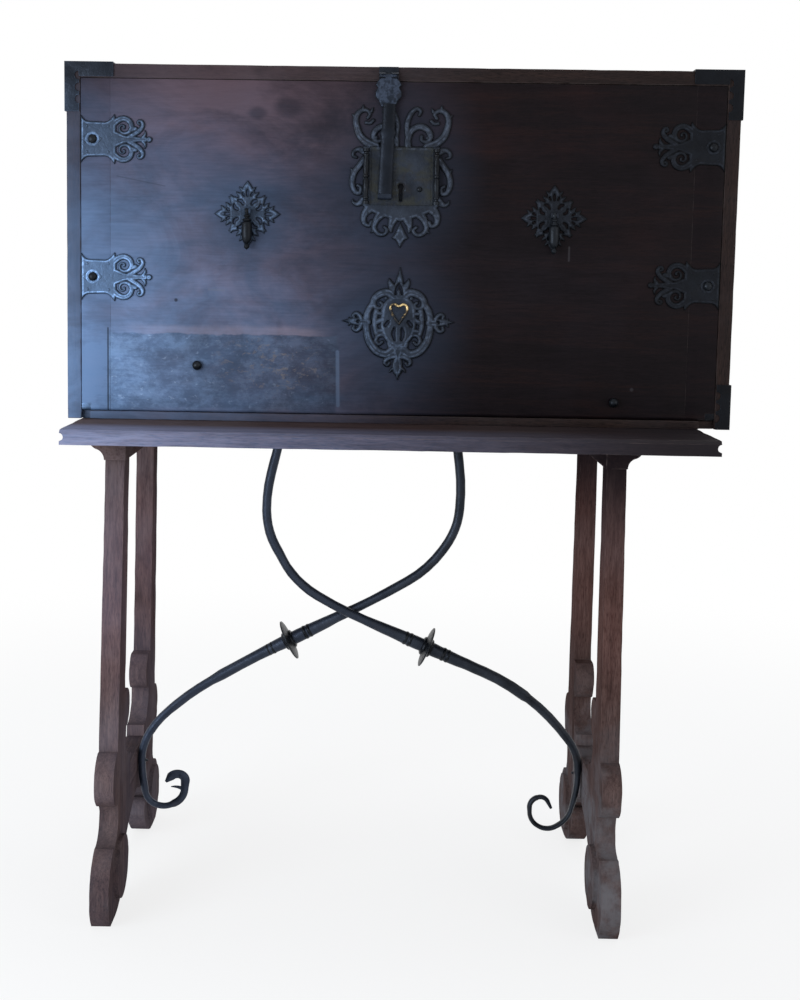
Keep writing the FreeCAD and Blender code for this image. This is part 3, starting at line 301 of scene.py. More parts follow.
def front_marks(net, colour, height, streaks):
    """The painted sheen and warm tint, darker bluish rings around the iron, the worn patch under its ridge with
    painted light on its flakes, old scratches and spots.
    """
    painted_sheen, warm, ahead = sheen_and_tint(net)
    reddish = (net.clouds(2.4, 4.0, 4.0, 0.6, 0.4).span(0.42, 0.75) * net.x.span(0.52, 0.3)
               * net.z.span(0.86, 1.2, 0.4, 1.0))
    colour = net.added(reddish * 0.4, colour, (0.02, 0.006, 0.0045))
    halo, *halos = [net.near(*place) for place in iron_halos]
    for other in halos:
        halo = halo.most(other)
    colour = net.mixed(halo * ahead * 0.6, colour, (0.017, 0.021, 0.033))
    warm = warm.less(halo, 0.7)
    for place in dark_blots:
        warm = warm.less(net.near(*place), 0.55)
    wander = (net.noise(net.place, 16.0, 4.0, 0.6) - 0.5) * 0.02
    x, z = net.x + wander, net.z + wander
    patch = x.span(-0.463, -0.454) * x.span(-0.09, -0.1) * z.span(0.812, 0.822) * z.span(0.941, 0.937) * ahead
    flakes = net.clouds(1.5, 24.0, 7.0, 0.78, 0.15).span(0.4, 0.64)
    grainy = streaks.span(0.3, 0.66, 0.93, 1.06).less(patch * (1.0 - flakes), 0.24)
    # Painted reflection: the bluish sheen of the window light, then the warm tint.
    colour = net.added(painted_sheen * grainy, colour, painted_sheen_colour)
    colour = net.added(warm.less(patch, 0.6) * grainy, colour, warm_tint_colour)
    specks = net.clouds(1.6, 70.0, 4.0, 0.7, 0.5).span(0.6, 0.7)
    # Painted highlight: the flakes and specks of the worn patch are lit bluish, more towards the left.
    lit = patch * net.x.linear(0.0, -0.42, 0.12, 1.0)
    colour = net.added(lit * flakes * 0.34, colour, (0.11, 0.15, 0.2))
    colour = net.added(lit * specks * 0.5, colour, (0.2, 0.24, 0.3))
    brown = patch * net.near(-0.2, 0.89, 0.12, 0.06) * net.clouds(1.7, 60.0, 5.0, 0.75, 0.4).span(0.54, 0.62)
    colour = net.mixed(brown * 0.6, colour, (0.17, 0.145, 0.14))
    ridge = net.x.span(-0.46, -0.37) * net.x.span(-0.1, -0.15) * z.span(0.9375, 0.94) * z.span(0.956, 0.946) * ahead
    colour = net.added(ridge * 0.8, colour, (0.075, 0.05, 0.045))
    for start, end, width, share, tint in front_scratches:
        colour = net.mixed(net.line(start, end, width) * ahead * share, colour, tint)
    return colour, height + patch * flakes * -0.9 + ridge * 1.6


def board_marks(net, colour, height, streaks):
    """The front edges of the boards take the painted sheen and the warm tint of the front."""
    painted_sheen, warm, _ = sheen_and_tint(net)
    colour = net.added(painted_sheen * 0.6, colour, painted_sheen_colour)
    return net.added(warm * 0.5, colour, warm_tint_colour), height


def stand_marks(net, colour, height, streaks):
    """Painted shade on the right of the top, painted bluish light on its left and on the lower left legs, grey dust
    on the feet.
    """
    left = net.x.linear(0.42, -0.5)
    high = net.z.span(0.5, 0.77)
    # Painted shade: the right of the top and of the upper stand darkened nearly to black.
    colour = net.mixed((1.0 - left) * high * 0.95, colour, (0.011, 0.009, 0.0115))
    red = net.z.span(0.3, 0.5) * net.z.span(0.74, 0.6) * streaks.span(0.3, 0.6, 0.5, 1.0)
    colour = net.added(red * 0.8, colour, (0.024, 0.004, 0.002))
    # Painted light: bluish window light on the left of the table top.
    painted_sheen = left ** 1.6 * high * net.y.span(-0.2, -0.29) * streaks.span(0.3, 0.66, 0.75, 1.1)
    colour = net.added(painted_sheen * 0.62, colour, (0.17, 0.24, 0.42))
    # Painted sheen: bluish window light on the lower left legs.
    painted_leg_light = (net.x.span(-0.25, -0.42) * net.z.span(0.78, 0.7)
             * net.noise(net.place, 5.0, 3.0, 0.5, 0.5).span(0.34, 0.66, 0.3, 1.0))
    colour = net.added(painted_leg_light * 0.5, colour, (0.05, 0.062, 0.095))
    dusty = (net.z.span(0.42, 0.1) * net.noise(net.place, 13.0, 5.0, 0.66).span(0.38, 0.6, 0.1, 1.0)
             * net.x.span(-0.2, 0.2, 0.15, 0.8))
    return net.mixed(dusty, colour, (0.15, 0.142, 0.15)), height


def iron(name, dark, light, rust, rough=(0.4, 0.6), extra=None, chased=0.9):
    """Forged iron: hammered and blackened, brown with rust in patches, with painted shade in the hollows and painted
    highlights and rubbing on its crests and rims.
    """
    net = Surface(name)
    hammer = net.noise(net.place, 55.0, 3.0, 0.5, 0.3)
    fine = net.noise(net.place, 320.0, 4.0, 0.6)
    chisel = net.noise(net.place, 150.0, 3.0, 0.6, 0.6)
    wear_and_highlight = net.attribute("wear_and_highlight")
    colour = net.ramp(net.noise(net.place, 21.0, 4.0, 0.6, 0.4), ((0.32, dark), (0.68, light)))
    colour = net.mixed(net.noise(net.place, 34.0, 5.0, 0.65, 0.5).span(0.55, 0.7) * 0.35, colour, rust)
    # Painted shade where the tone is low, in the hollows and on the edges; painted highlight where it is high, on the
    # crests and rims.
    colour = net.mixed(wear_and_highlight.span(0.3, 0.0, 0.0, 0.75), colour, lighter(dark, 0.3))
    colour = net.added(wear_and_highlight.span(0.3, 1.0) * chisel.span(0.4, 0.64, 0.2, 1.3) * 0.7, colour, lighter(light, 1.6))
    if extra:
        colour = extra(net, colour, wear_and_highlight, chisel)
    net.relief(chisel * chased + (fine * 0.25 + hammer * 0.8), 0.6, 0.0014)
    return net.finish(colour, fine.span(0.3, 0.7, *rough), 0.2, 0.6)


def iron_sheen_and_shade(net, colour, wear_and_highlight, chisel):
    """Iron on the front: a painted bluish sheen on the left like the wood, painted shade making it nearly black on
    the right.
    """
    painted_sheen, _, _ = sheen_and_tint(net)
    # Painted shade towards the right, then the painted bluish sheen, strongest on the crests.
    colour = net.mixed(net.x.span(0.1, 0.34) * 0.72, colour, (0.002, 0.0023, 0.0033))
    colour = net.added(painted_sheen * wear_and_highlight.span(0.0, 0.4, 0.25, 1.0) * 0.62, colour, painted_sheen_colour)
    return net.added(painted_sheen * wear_and_highlight.span(0.4, 1.0) * chisel.span(0.36, 0.62, 0.3, 1.5), colour, painted_sheen_colour)


def lock_sheen_and_patina(net, colour, wear_and_highlight, chisel):
    """The plain middle of the lock plate shows brownish green under the black; the plate also takes the painted sheen
    and shade of the iron on the front.
    """
    colour = iron_sheen_and_shade(net, colour, wear_and_highlight, chisel)
    middle = (abs(net.x).span(0.051, 0.048) * net.z.span(1.142, 1.146) * net.z.span(1.236, 1.232)
              * net.y.span(-0.138, -0.141))
    patina = net.clouds(1.6, 26.0, 5.0, 0.65, 0.5).span(0.38, 0.64)
    return net.mixed(middle * patina * 0.8, colour, (0.032, 0.033, 0.026))


def brace_sheen(net, colour, wear_and_highlight, chisel):
    """The braces get a painted bluish sheen on the left and stay darker on the right."""
    return net.added(net.x.linear(0.2, -0.4) * 0.5, colour, (0.03, 0.042, 0.075))


def gilding(name):
    """Gilding that is worn off in patches, most of all low down."""
    net = Surface(name)
    chips = net.noise(net.place, 130.0, 5.0, 0.7, 0.5)
    kept = chips + net.z.linear(0.955, 0.992, -0.16, 0.06)
    colour = net.ramp(kept, ((0.42, (0.016, 0.018, 0.022)), (0.5, (0.12, 0.085, 0.045)), (0.6, (0.75, 0.56, 0.27))))
    net.relief(chips, 0.4, 0.0005)
    return net.finish(colour, chips.span(0.3, 0.7, 0.5, 0.3), metal=0.8)


# Tones of the woods: dark, middle, light and dust

front_tones = ((0.0045, 0.0034, 0.0042), (0.0085, 0.0058, 0.007), (0.0165, 0.0085, 0.0082), (0.017, 0.014, 0.018))
chest_tones = ((0.009, 0.006, 0.006), (0.02, 0.012, 0.011), (0.04, 0.022, 0.017), (0.045, 0.04, 0.045))
stand_tones = ((0.028, 0.016, 0.014), (0.085, 0.05, 0.044), (0.155, 0.096, 0.083), (0.14, 0.11, 0.11))
nest_tones = ((0.028, 0.013, 0.007), (0.085, 0.04, 0.02), (0.16, 0.08, 0.04), (0.11, 0.075, 0.05))
chest_worn = (0.05, 0.038, 0.036)
stand_kind = {"rough": (0.5, 0.7), "extra": stand_marks}
dry_stand = {"specular": 0.0, "pore": 0.5, **stand_kind}

# Tones of the irons: dark, light and rust

black_iron = ((0.008, 0.0095, 0.0135), (0.026, 0.032, 0.045), (0.024, 0.018, 0.016))
dark_iron = ((0.005, 0.006, 0.008), (0.014, 0.017, 0.022), (0.014, 0.011, 0.01))
brace_iron = ((0.01, 0.012, 0.016), (0.026, 0.031, 0.041), (0.03, 0.024, 0.022))
hasp_iron = ((0.007, 0.0095, 0.015), (0.02, 0.026, 0.04), (0.02, 0.017, 0.016))

looks = {
    "front": wood("front_wood", "x", front_tones, 0.3, chest_worn, (0.38, 0.5), 0.06, 0.35, front_marks),
    "chest_x": wood("chest_wood_along_x", "x", chest_tones, 0.35, chest_worn, extra=board_marks),
    "chest_z": wood("chest_wood_along_z", "z", chest_tones, 0.35, chest_worn, extra=board_marks),
    "stand_x": wood("stand_wood_along_x", "x", stand_tones, 0.5, **stand_kind),
    "stand_y": wood("stand_wood_along_y", "y", stand_tones, 0.4, **dry_stand),
    "stand_z": wood("stand_wood_along_z", "z", stand_tones, 0.5, **dry_stand),
    "nest_x": wood("nest_wood_along_x", "x", nest_tones, 0.2, specular=0.25),
    "nest_z": wood("nest_wood_along_z", "z", nest_tones, 0.2, specular=0.25),
    "iron": iron("forged_iron", *black_iron, extra=iron_sheen_and_shade),
    "dark": iron("dark_iron", *dark_iron, rough=(0.3, 0.45), chased=0.2),
    "brace": iron("brace_iron", *brace_iron, rough=(0.36, 0.52), extra=brace_sheen, chased=0.25),
    "lock": iron("patinated_iron", *black_iron, extra=lock_sheen_and_patina),
    "hasp": iron("hasp_iron", *hasp_iron, rough=(0.3, 0.5), extra=iron_sheen_and_shade, chased=0.2),
    "gilt": gilding("worn_gilding"),
}


# Making and placing pieces; a tone runs from 0 in the hollows to 1 on the rims: on wood it marks the rubbed edges, on
# iron it also sets painted shade in the hollows and painted highlights on the crests and rims

plain_tone = 0.4
worn_smooth = 35.0
built_smooth = 40.0
worn_angle = math.radians(22.0)
flat_angle = math.radians(0.6)


def place_piece(name, mesh, look, body, nodes, smooth):
    """Hangs a finished mesh on its body, in the place of its CAD nodes."""
    mesh.set_sharp_from_angle(angle=math.radians(smooth))
    piece = bpy.data.objects.new(name, mesh)
    bpy.context.collection.objects.link(piece)
    mesh.materials.clear()
    mesh.materials.append(looks[look])
    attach(piece, body)
    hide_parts(*nodes)


def mesh_of(name, points, faces, tones=None):
    mesh = bpy.data.meshes.new(name)
    mesh.from_pydata([tuple(p) for p in points], [], [tuple(f) for f in faces])
    mesh.polygons.foreach_set("use_smooth", [True] * len(mesh.polygons))
    if tones is not None:
        layer = mesh.color_attributes.new(name="wear_and_highlight", type="FLOAT_COLOR", domain="POINT")
        colours = np.ones((len(points), 4))
        colours[:, :3] = np.array(tones, float)[:, None]
        layer.data.foreach_set("color", colours.ravel())
    mesh.update()
    return mesh


dent_pitch = 0.025
to_front = (0.0, -1.0, 0.0)


def dent_edges(work, mark, depth):
    """Small dents pressed into the rounded edges, never outwards."""
    groups = {}
    for edge in [e for e in work.edges if any(face[mark] for face in e.link_faces)]:
        cuts = int(edge.calc_length() / dent_pitch)
        if cuts > 2:
            groups.setdefault(cuts, []).append(edge)
    for cuts in sorted(groups):
        edges = [e for e in groups[cuts] if e.is_valid]
        bmesh.ops.subdivide_edges(work, edges=edges, cuts=cuts, use_grid_fill=True)
    work.normal_update()
    corners = [v for v in work.verts if any(face[mark] for face in v.link_faces)]
    moves = [(v, v.normal.copy(), noise.noise(v.co * 34.0) + 0.6 * noise.noise(v.co * 90.0)) for v in corners]
    for vert, normal, bump in moves:
        vert.co -= normal * (depth * min(1.0, max(0.0, bump)))


def softened(node, look, body, width, dents=0.0, flat_tone=0.0):
    """A CAD node's own form with its edges worn round and dented, the rounded edges given tone 1 for rubbing on wood
    and for painted highlights on iron.
    """
    work = bmesh.new()
    work.from_mesh(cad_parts[node].data)
    mark = work.faces.layers.int.new("rubbed")
    layer = work.loops.layers.float_color.new("wear_and_highlight")
    bmesh.ops.remove_doubles(work, verts=work.verts, dist=1e-6)
    bmesh.ops.dissolve_limit(work, angle_limit=flat_angle, verts=work.verts, edges=work.edges)
    sharp = [e for e in work.edges if len(e.link_faces) == 2 and e.calc_face_angle(0.0) > worn_angle]
    made = bmesh.ops.bevel(work, geom=sharp, offset=width * MM, segments=2, profile=0.6, affect="EDGES",
                           clamp_overlap=True)
    for face in made["faces"]:
        face[mark] = 1
    if dents:
        dent_edges(work, mark, dents * MM)
    for face in work.faces:
        face.smooth = True
        tone = 1.0 if face[mark] else flat_tone
        for corner in face.loops:
            corner[layer] = (tone, tone, tone, 1.0)
    mesh = bpy.data.meshes.new(node + "_worn")
    work.to_mesh(mesh)
    work.free()
    place_piece(node + "_worn", mesh, look, body, [node], worn_smooth)


def tube_faces(rings, sides):
    """The wall and the two ends of a tube of rings."""
    faces = []
    for ring in range(rings - 1):
        for k in range(sides):
            after = (k + 1) % sides
            low, high = ring * sides, (ring + 1) * sides
            faces.append((low + k, low + after, high + after, high + k))
    return [*faces, tuple(reversed(range(sides))), tuple(range((rings - 1) * sides, rings * sides))]


def revolved(stations, base, axis, sides=32):
    """Points and faces of a turned form through (distance, radius) stations in mm."""
    axis = Vector(axis).normalized()
    u = axis.orthogonal().normalized()
    v = axis.cross(u)
    points = []
    for along, radius in stations:
        for k in range(sides):
            angle = 2.0 * math.pi * k / sides
            spoke = u * math.cos(angle) + v * math.sin(angle)
            points.append((Vector(base) + axis * along + spoke * max(radius, 0.01)) * MM)
    return points, tube_faces(len(stations), sides)


def joined(parts):
    """Several parts, each (points, faces) or (points, faces, tones), as one."""
    points, faces, tones = [], [], []
    for more_points, more_faces, *more_tones in parts:
        start = len(points)
        points += list(more_points)
        faces += [tuple(start + i for i in face) for face in more_faces]
        tones += list(more_tones[0]) if more_tones else [plain_tone] * len(more_points)
    return points, faces, tones


def dome(x, y, z, radius, rise, sides=20):
    stations = [(rise * math.sin(a), radius * math.cos(a)) for a in np.linspace(0.0, 1.5, 7)]
    return revolved(stations, (x, y, z), to_front, sides)


def curve_points(points, steps=8):
    """A smooth run through the given rows of numbers."""
    rows = np.array(points, float)
    rows = np.vstack([2 * rows[0] - rows[1], rows, 2 * rows[-1] - rows[-2]])
    out = []
    for a, b, c, d in zip(rows, rows[1:], rows[2:], rows[3:]):
        for t in np.arange(steps) / steps:
            out.append(0.5 * (2 * b + (c - a) * t + (2 * a - 5 * b + 4 * c - d) * t * t
                              + (3 * b - a - 3 * c + d) * t ** 3))
    out.append(rows[-2])
    return np.array(out)


def swept(line, widths, depths, sides=20, dents=0.0):
    """A bar along a line of points in mm, with its own width and its own depth from front to back at each point."""
    side = Vector((0.0, 1.0, 0.0))
    points = []
    count = len(line)
    for i, (place, width, depth) in enumerate(zip(line, widths, depths)):
        way = Vector(line[min(i + 1, count - 1)] - line[max(i - 1, 0)]).normalized()
        up = side.cross(way).normalized()
        for k in range(sides):
            angle = 2.0 * math.pi * (k + 0.5) / sides
            spoke = side * (math.cos(angle) * depth / 2) + up * (math.sin(angle) * width / 2)
            bump = noise.noise((Vector(place) + spoke) * 0.045) * dents
            points.append((Vector(place) + spoke * (1.0 + min(0.0, bump))) * MM)
    return points, tube_faces(count, sides)


# Pierced and chiselled plates, drawn as strokes on a fine grid

def mirrored(strokes, u_sign=-1, v_sign=1):
    return [[(u_sign * u, v_sign * v, *radius) for u, v, *radius in points] for points in strokes]


class Plate:
    """A plate drawn in mm: how deep inside the outline each grid point lies, and the chasing cut into it."""

    def __init__(self, low, high, cell=0.6, swell=1.0):
        self.cell = cell
        self.swell = swell
        self.low = np.array(low, float) - 3 * cell
        size = np.ceil((np.array(high) - self.low) / cell + 4).astype(int)
        self.us = self.low[0] + cell * np.arange(size[0])
        self.vs = self.low[1] + cell * np.arange(size[1])
        self.depth = np.full((size[1], size[0]), -9.0)
        self.holes = np.full((size[1], size[0]), -9.0)
        self.groove = np.zeros((size[1], size[0]))

    def window(self, low, high):
        spots = [np.searchsorted(line, value) for line, value in
                 ((self.us, low[0]), (self.us, high[0]), (self.vs, low[1]), (self.vs, high[1]))]
        return slice(spots[2], spots[3] + 1), slice(spots[0], spots[1] + 1)

    def stroke(self, points, target=None):
        """A run of rounded, tapering strokes through (u, v, radius) points."""
        if target is None:
            target = self.depth
            points = [(u, v, r * self.swell) for u, v, r in points]
        line = curve_points(points, 5) if len(points) > 1 else np.array([points[0], points[0]], float)
        for a, b in zip(line, line[1:]):
            reach = max(a[2], b[2]) + 3 * self.cell
            rows, cols = self.window(np.minimum(a, b)[:2] - reach, np.maximum(a, b)[:2] + reach)
            u, v = np.meshgrid(self.us[cols], self.vs[rows])
            run = b[:2] - a[:2]
            length = max(float(run @ run), 1e-9)
            t = np.clip(((u - a[0]) * run[0] + (v - a[1]) * run[1]) / length, 0.0, 1.0)
            near = a[2] + (b[2] - a[2]) * t - np.hypot(u - a[0] - t * run[0], v - a[1] - t * run[1])
            target[rows, cols] = np.maximum(target[rows, cols], near)

    def strokes(self, rows, target=None):
        for points in rows:
            self.stroke(points, target)

    def area(self, corners):
        """A filled outline with straight sides."""
        corners = np.array(corners, float)
        u, v = np.meshgrid(self.us, self.vs)
        inside = np.zeros(u.shape, bool)
        near = np.full(u.shape, 99.0)
        for a, b in zip(corners, np.roll(corners, -1, axis=0)):
            run = b - a
            t = np.clip(((u - a[0]) * run[0] + (v - a[1]) * run[1]) / float(run @ run), 0.0, 1.0)
            near = np.minimum(near, np.hypot(u - a[0] - t * run[0], v - a[1] - t * run[1]))
            if a[1] != b[1]:
                crossing = (a[1] > v) != (b[1] > v)
                inside ^= crossing & (u < (b[0] - a[0]) * (v - a[1]) / (b[1] - a[1]) + a[0])
        self.depth = np.maximum(self.depth, np.where(inside, near, -near))

    def engrave(self, lines, depth, radius=0.5):
        """Chased lines through (u, v) points."""
        cut = np.full(self.depth.shape, -9.0)
        self.strokes([[(u, v, radius) for u, v in line] for line in lines], cut)
        self.groove = np.maximum(self.groove, depth * np.clip(cut / 0.7, 0.0, 1.0))

    def mesh(self, edge, crown, round_over, flat=None):
        """Front face with walls down to the back, in (u, v, height)."""
        depth = np.minimum(self.depth, -self.holes)
        slope_v, slope_u = np.gradient(depth, self.cell)
        inside = depth > 0
        keep = inside[:-1, :-1] | inside[1:, :-1] | inside[:-1, 1:] | inside[1:, 1:]
        rows, cols = np.nonzero(keep)
        wide = depth.shape[1]
        start = rows * wide + cols
        quads = np.stack([start, start + 1, start + wide + 1, start + wide], 1)
        used, quads = np.unique(quads, return_inverse=True)
        quads = quads.reshape(-1, 4)
        r, c = used // wide, used % wide
        d = depth[r, c]
        steep = np.clip(np.hypot(slope_u, slope_v)[r, c], 0.35, None)
        step = np.clip(np.where(d < 0, -d, 0.0) / steep, 0.0, 1.2 * self.cell)
        u = self.us[c] + slope_u[r, c] / steep * step
        v = self.vs[r] + slope_v[r, c] / steep * step
        share = np.clip(np.maximum(d, 0.0) / round_over, 0.0, 1.0)
        height = edge + crown * np.sqrt(1.0 - (1.0 - share) ** 2)
        if flat is not None:
            height = np.minimum(height, np.where(flat(u, v), edge + 0.2, 99.0))
        height = height - self.groove[r, c] * (share > 0)
        # Tones: a painted highlight along the crest of each stroke, painted shade at its edges and in the chased
        # grooves.
        crest = np.exp(-((np.minimum(d, 1.3 * round_over) / round_over - 0.9) / 0.4) ** 2)
        tones = np.clip(0.08 + 0.9 * crest - 1.2 * self.groove[r, c], 0.0, 1.0)
        front = np.stack([u, v, height], 1)
        sides = np.concatenate([quads[:, [k, (k + 1) % 4]] for k in range(4)])
        order = np.sort(sides, 1)
        code = order[:, 0].astype(np.int64) * len(front) + order[:, 1]
        single = np.isin(code, [k for k, n in zip(*np.unique(code, return_counts=True)) if n == 1])
        rim = sides[single]
        rim_points = np.unique(rim)
        back_of = {int(p): len(front) + i for i, p in enumerate(rim_points)}
        back = front[rim_points].copy()
        back[:, 2] = 0.0
        walls = [(int(b), int(a), back_of[int(a)], back_of[int(b)]) for a, b in rim]
        tones = np.concatenate([tones, np.zeros(len(back))])
        return np.vstack([front, back]), [tuple(int(i) for i in q) for q in quads] + walls, tones


def plate_parts(shape, x, y, z, flip=1):
    """Puts a drawn plate on an upright face that looks to the front; flip -1 mirrors it left to right."""
    points, faces, tones = shape
    placed = [((x + flip * u) * MM, (y - h) * MM, (z + v) * MM) for u, v, h in points]
    if flip < 0:
        faces = [tuple(reversed(face)) for face in faces]
    return placed, faces, tones


def both(rows):
    """Rows and their twins on the other side of the middle."""
    return [*rows, *mirrored(rows)]


def put(name, parts, look, body, nodes):
    place_piece(name, mesh_of(name, *joined(parts)), look, body, nodes, built_smooth)


# Sizes that the scene repeats from the part, in mm

front_y = -142.0
chest_base = 800.0
chest_height = 556.0
front_half = 502.2
strap_heights = (chest_base + 0.406 * chest_height, chest_base + 0.791 * chest_height)
lock_z = 1188.0
medallion_z = 959.0
diamond_x = 240.0
diamond_z = 1127.0
hasp_pin_x = -22.0
hasp_pin_z = 1342.0
pull_pin_y = -153.5
pull_pin_z = 1131.5

make_camera()

# Straps

strap_root = ((0, 37.5), (2.5, 33.5), (6.5, 29.5), (11, 27.6), (38, 26.6), (43, 28.2), (47, 31.5),
              (50.5, 36), (53, 38.9), (54.4, 34), (55.6, 27))
strap_strokes = (
    ((51, 23, 5), (59, 29.3, 4.6), (68, 31.8, 4.4), (76.5, 27.5, 4.2), (79.8, 18.5, 3.8), (75.5, 11.2, 3.2),
     (68, 9, 2.6), (62, 12.2, 2.2), (60.8, 17.8, 1.9), (64, 21.6, 1.7), (68.2, 20.4, 1.8), (68, 17.4, 2.1)),
    ((76, 3, 4), (84, 8, 3.8), (92, 13.5, 3.8), (97.2, 21, 3.3), (95.8, 27.2, 2.7), (91.4, 28.6, 2.2),
     (89.4, 25.4, 2), (91.8, 23.4, 2.2)),
    ((79, 15, 4.2), (86, 16.5, 3.4)),
    ((98, 3, 3.2), (101.2, 8.5, 2.2), (100.8, 14, 0.7)),
)
strap_stem = ((48, 0, 13), (58, 0, 9.5), (68, 0, 6), (80, 0, 5), (92, 0, 4), (101, 0, 4.4))
strap_bracket = (((2, 0.5), (9, 6), (18, 8.6), (27, 5.8), (33.5, 0.5)),)
strap_chasing = (
    ((58, 31.8), (68, 34.2), (77.5, 29.8), (82, 20), (80, 12)),
    ((60, 4.2), (72, 2.2), (86, 1.6), (98, 1.2)),
    ((82, 5), (91, 10.5), (98.6, 19)),
    ((40, 24), (46, 26), (50, 31)),
)


def strap_shape():
    plate = Plate((0, -39), (112, 39), swell=1.1)
    plate.area([*strap_root, *[(u, -v) for u, v in reversed(strap_root)]])
    plate.strokes([*strap_strokes, *mirrored(strap_strokes, 1, -1), strap_stem, [(107.3, 0.0, 4.4)]])
    for sign in (1, -1):
        plate.engrave(mirrored(strap_bracket, 1, sign), 0.5, 0.6)
        plate.engrave(mirrored(strap_chasing, 1, sign), 0.5)
    return plate.mesh(1.1, 1.9, 3.4)


def make_straps():
    shape = strap_shape()
    for row, z in zip(("lower", "upper"), strap_heights):
        for side, name in ((1, "left"), (-1, "right")):
            parts = [plate_parts(shape, -side * front_half, front_y, z, side)]
            node = "strap_%s_%s" % (row, name)
            put(node + "_chased", parts, "iron", "fall_front", [node])


# Diamond plates: what lies on a quarter's middle line, and what lies on its right and is mirrored

diamond_middle = (((0, 0, 14), (0, 20, 13.5), (0, 30, 10.5), (0, 40, 6.6), (0, 47, 3), (0, 51.6, 0.5)),)
diamond_right = (
    ((5, 8, 8), (17, 18, 7), (24, 23.5, 3.4), (29.5, 26.5, 0.6)),
    ((6, 36, 3.4), (10.5, 39.5, 1.8), (12.8, 42, 0.6)),
    ((9, 28, 4), (14.5, 31.2, 2.2), (17.6, 34.2, 0.6)),
)
diamond_middle_hole = (((0, 29, 1.3), (0, 33.5, 1.9), (0, 37, 0.8)),)
diamond_right_holes = (
    ((7, 15.5, 1.2), (9.5, 19.5, 1.7), (14, 21, 1.2)),
    ((5.5, 29, 1), (7.5, 32, 1.2)),
)
diamond_chasing = (
    ((0, 12), (4.5, 19), (3.2, 27)),
    ((0, 12), (-4.5, 19), (-3.2, 27)),
    ((9, 9), (16, 14), (23, 21)),
    ((2.6, 40), (0, 47), (-2.6, 40)),
)


def four_turns(rows):
    """Rows and their copies turned by one, two and three quarters."""
    return [[(u * cos - v * sin, u * sin + v * cos, *radius) for u, v, *radius in points]
            for points in rows for cos, sin in ((1, 0), (0, 1), (-1, 0), (0, -1))]


def diamond_shape():
    plate = Plate((-52, -52), (52, 52), swell=1.12)
    plate.strokes(four_turns([*diamond_middle, *both(diamond_right)]))
    plate.strokes(four_turns([*diamond_middle_hole, *both(diamond_right_holes)]), plate.holes)
    plate.engrave(four_turns(diamond_chasing), 0.5)
    return plate.mesh(1.0, 2.2, 4.6)


def make_diamonds():
    shape = diamond_shape()
    for side, name in ((-1, "left"), (1, "right")):
        node = "diamond_plate_" + name
        parts = [plate_parts(shape, side * diamond_x, front_y, diamond_z)]
        put(node + "_chased", parts, "iron", "fall_front", [node])


# Medallion

medallion_body = (
    ((0, 18, 20), (0, -6, 20), (0, -22, 12)),
    ((0, 44, 7), (0, 56, 6), (0.8, 68, 4.4), (1.2, 78, 2.2), (1.4, 88.5, 0.5)),
    ((0, -44, 7), (0, -54, 4.6), (0, -64, 6), (0, -73, 5.6), (0, -81, 2.4), (0, -88.5, 0.6)),
)
medallion_sides = (
    ((6, 42, 6), (18, 49, 5.2), (32, 45, 4.8), (40, 35, 4), (37, 26, 3), (29, 24, 2.4), (25, 29, 2.2),
     (28.5, 33, 2.4)),
    ((8, -42, 6), (19, -48, 5.4), (34, -43, 5.2), (45.5, -28, 4.8), (50, -10, 4.4), (50.5, 6, 4.4), (47.5, 20, 4.2),
     (41, 31, 4)),
    ((0, -38, 5), (11, -36, 3.8), (14, -26, 3.4), (22, -18, 3.2), (31, -19, 3), (35, -27, 2.6), (30, -33, 2.3),
     (25, -29, 2.3)),
    ((34, -16, 3.4), (37, -4, 3.4), (37, 8, 3.4), (35, 20, 3.4)),
    ((14, 10, 6), (26, 6, 3.8), (34, 2, 3.6)),
    ((13, -8, 5), (22, -10, 3.6), (32, -12, 3.2)),
    ((14, 22, 5), (22, 16, 3), (33, 16, 3)),
    ((50, 2, 5.4), (60, 2, 4.8), (70, 3, 4.6), (78, 3.4, 2.6), (88.5, 3.6, 0.5)),
    ((58, 4, 3), (60.5, 11, 3), (66, 15.5, 2.8), (71, 13, 2.3), (70, 9, 2)),
    ((58, 0, 3), (60.5, -7, 3), (66, -11.5, 2.8), (71, -9, 2.3), (70, -5, 2)),
    ((76, 5, 2.2), (78.5, 9, 0.7)), ((76, 1, 2.2), (78.5, -4, 0.7)),
    ((5, 50, 4), (10, 57, 4.2), (14, 64, 3), (15.5, 71, 0.7)),
    ((4, -52, 3.6), (11, -53, 3.6), (18, -57, 3.2), (20, -63, 2.4), (15.5, -66, 2.1), (13, -62, 2.1)),
    ((5, -70, 3), (10, -73, 1.8), (12.5, -77, 0.6)),
)
medallion_gaps = (
    ((6, -8, 1), (7.4, -16, 2.1), (5.5, -25, 1)),
    ((16, 2.5, 1.4), (20, -2.5, 1.8)),
    ((5, 47, 0.8), (3, 55, 1.5), (0, 62, 0.6)),
    ((63, 3, 1.5),),
)
medallion_chasing = (
    ((10, 45), (19, 51.6), (33, 47.4), (42.5, 35.5)),
    ((12, -46), (20, -50.6), (35.6, -45.4), (48, -29), (52.6, -10), (52.8, 6)),
    ((10, -30), (17, -19), (30, -15.6)),
    ((52, 2.6), (66, 3), (80, 3.4)),
)
medallion_veins = (((1.4, 64), (1, 80)),)
medallion_tip = (((3, -66), (1, -80)),)
heart_line = ((0.5, 0), (-6, 9.5), (-12, 19.5), (-12.2, 27), (-6.5, 30.4), (0.5, 27.6), (7.5, 30.6),
              (13, 27), (12.6, 19), (6.8, 9.5), (0.5, 0))


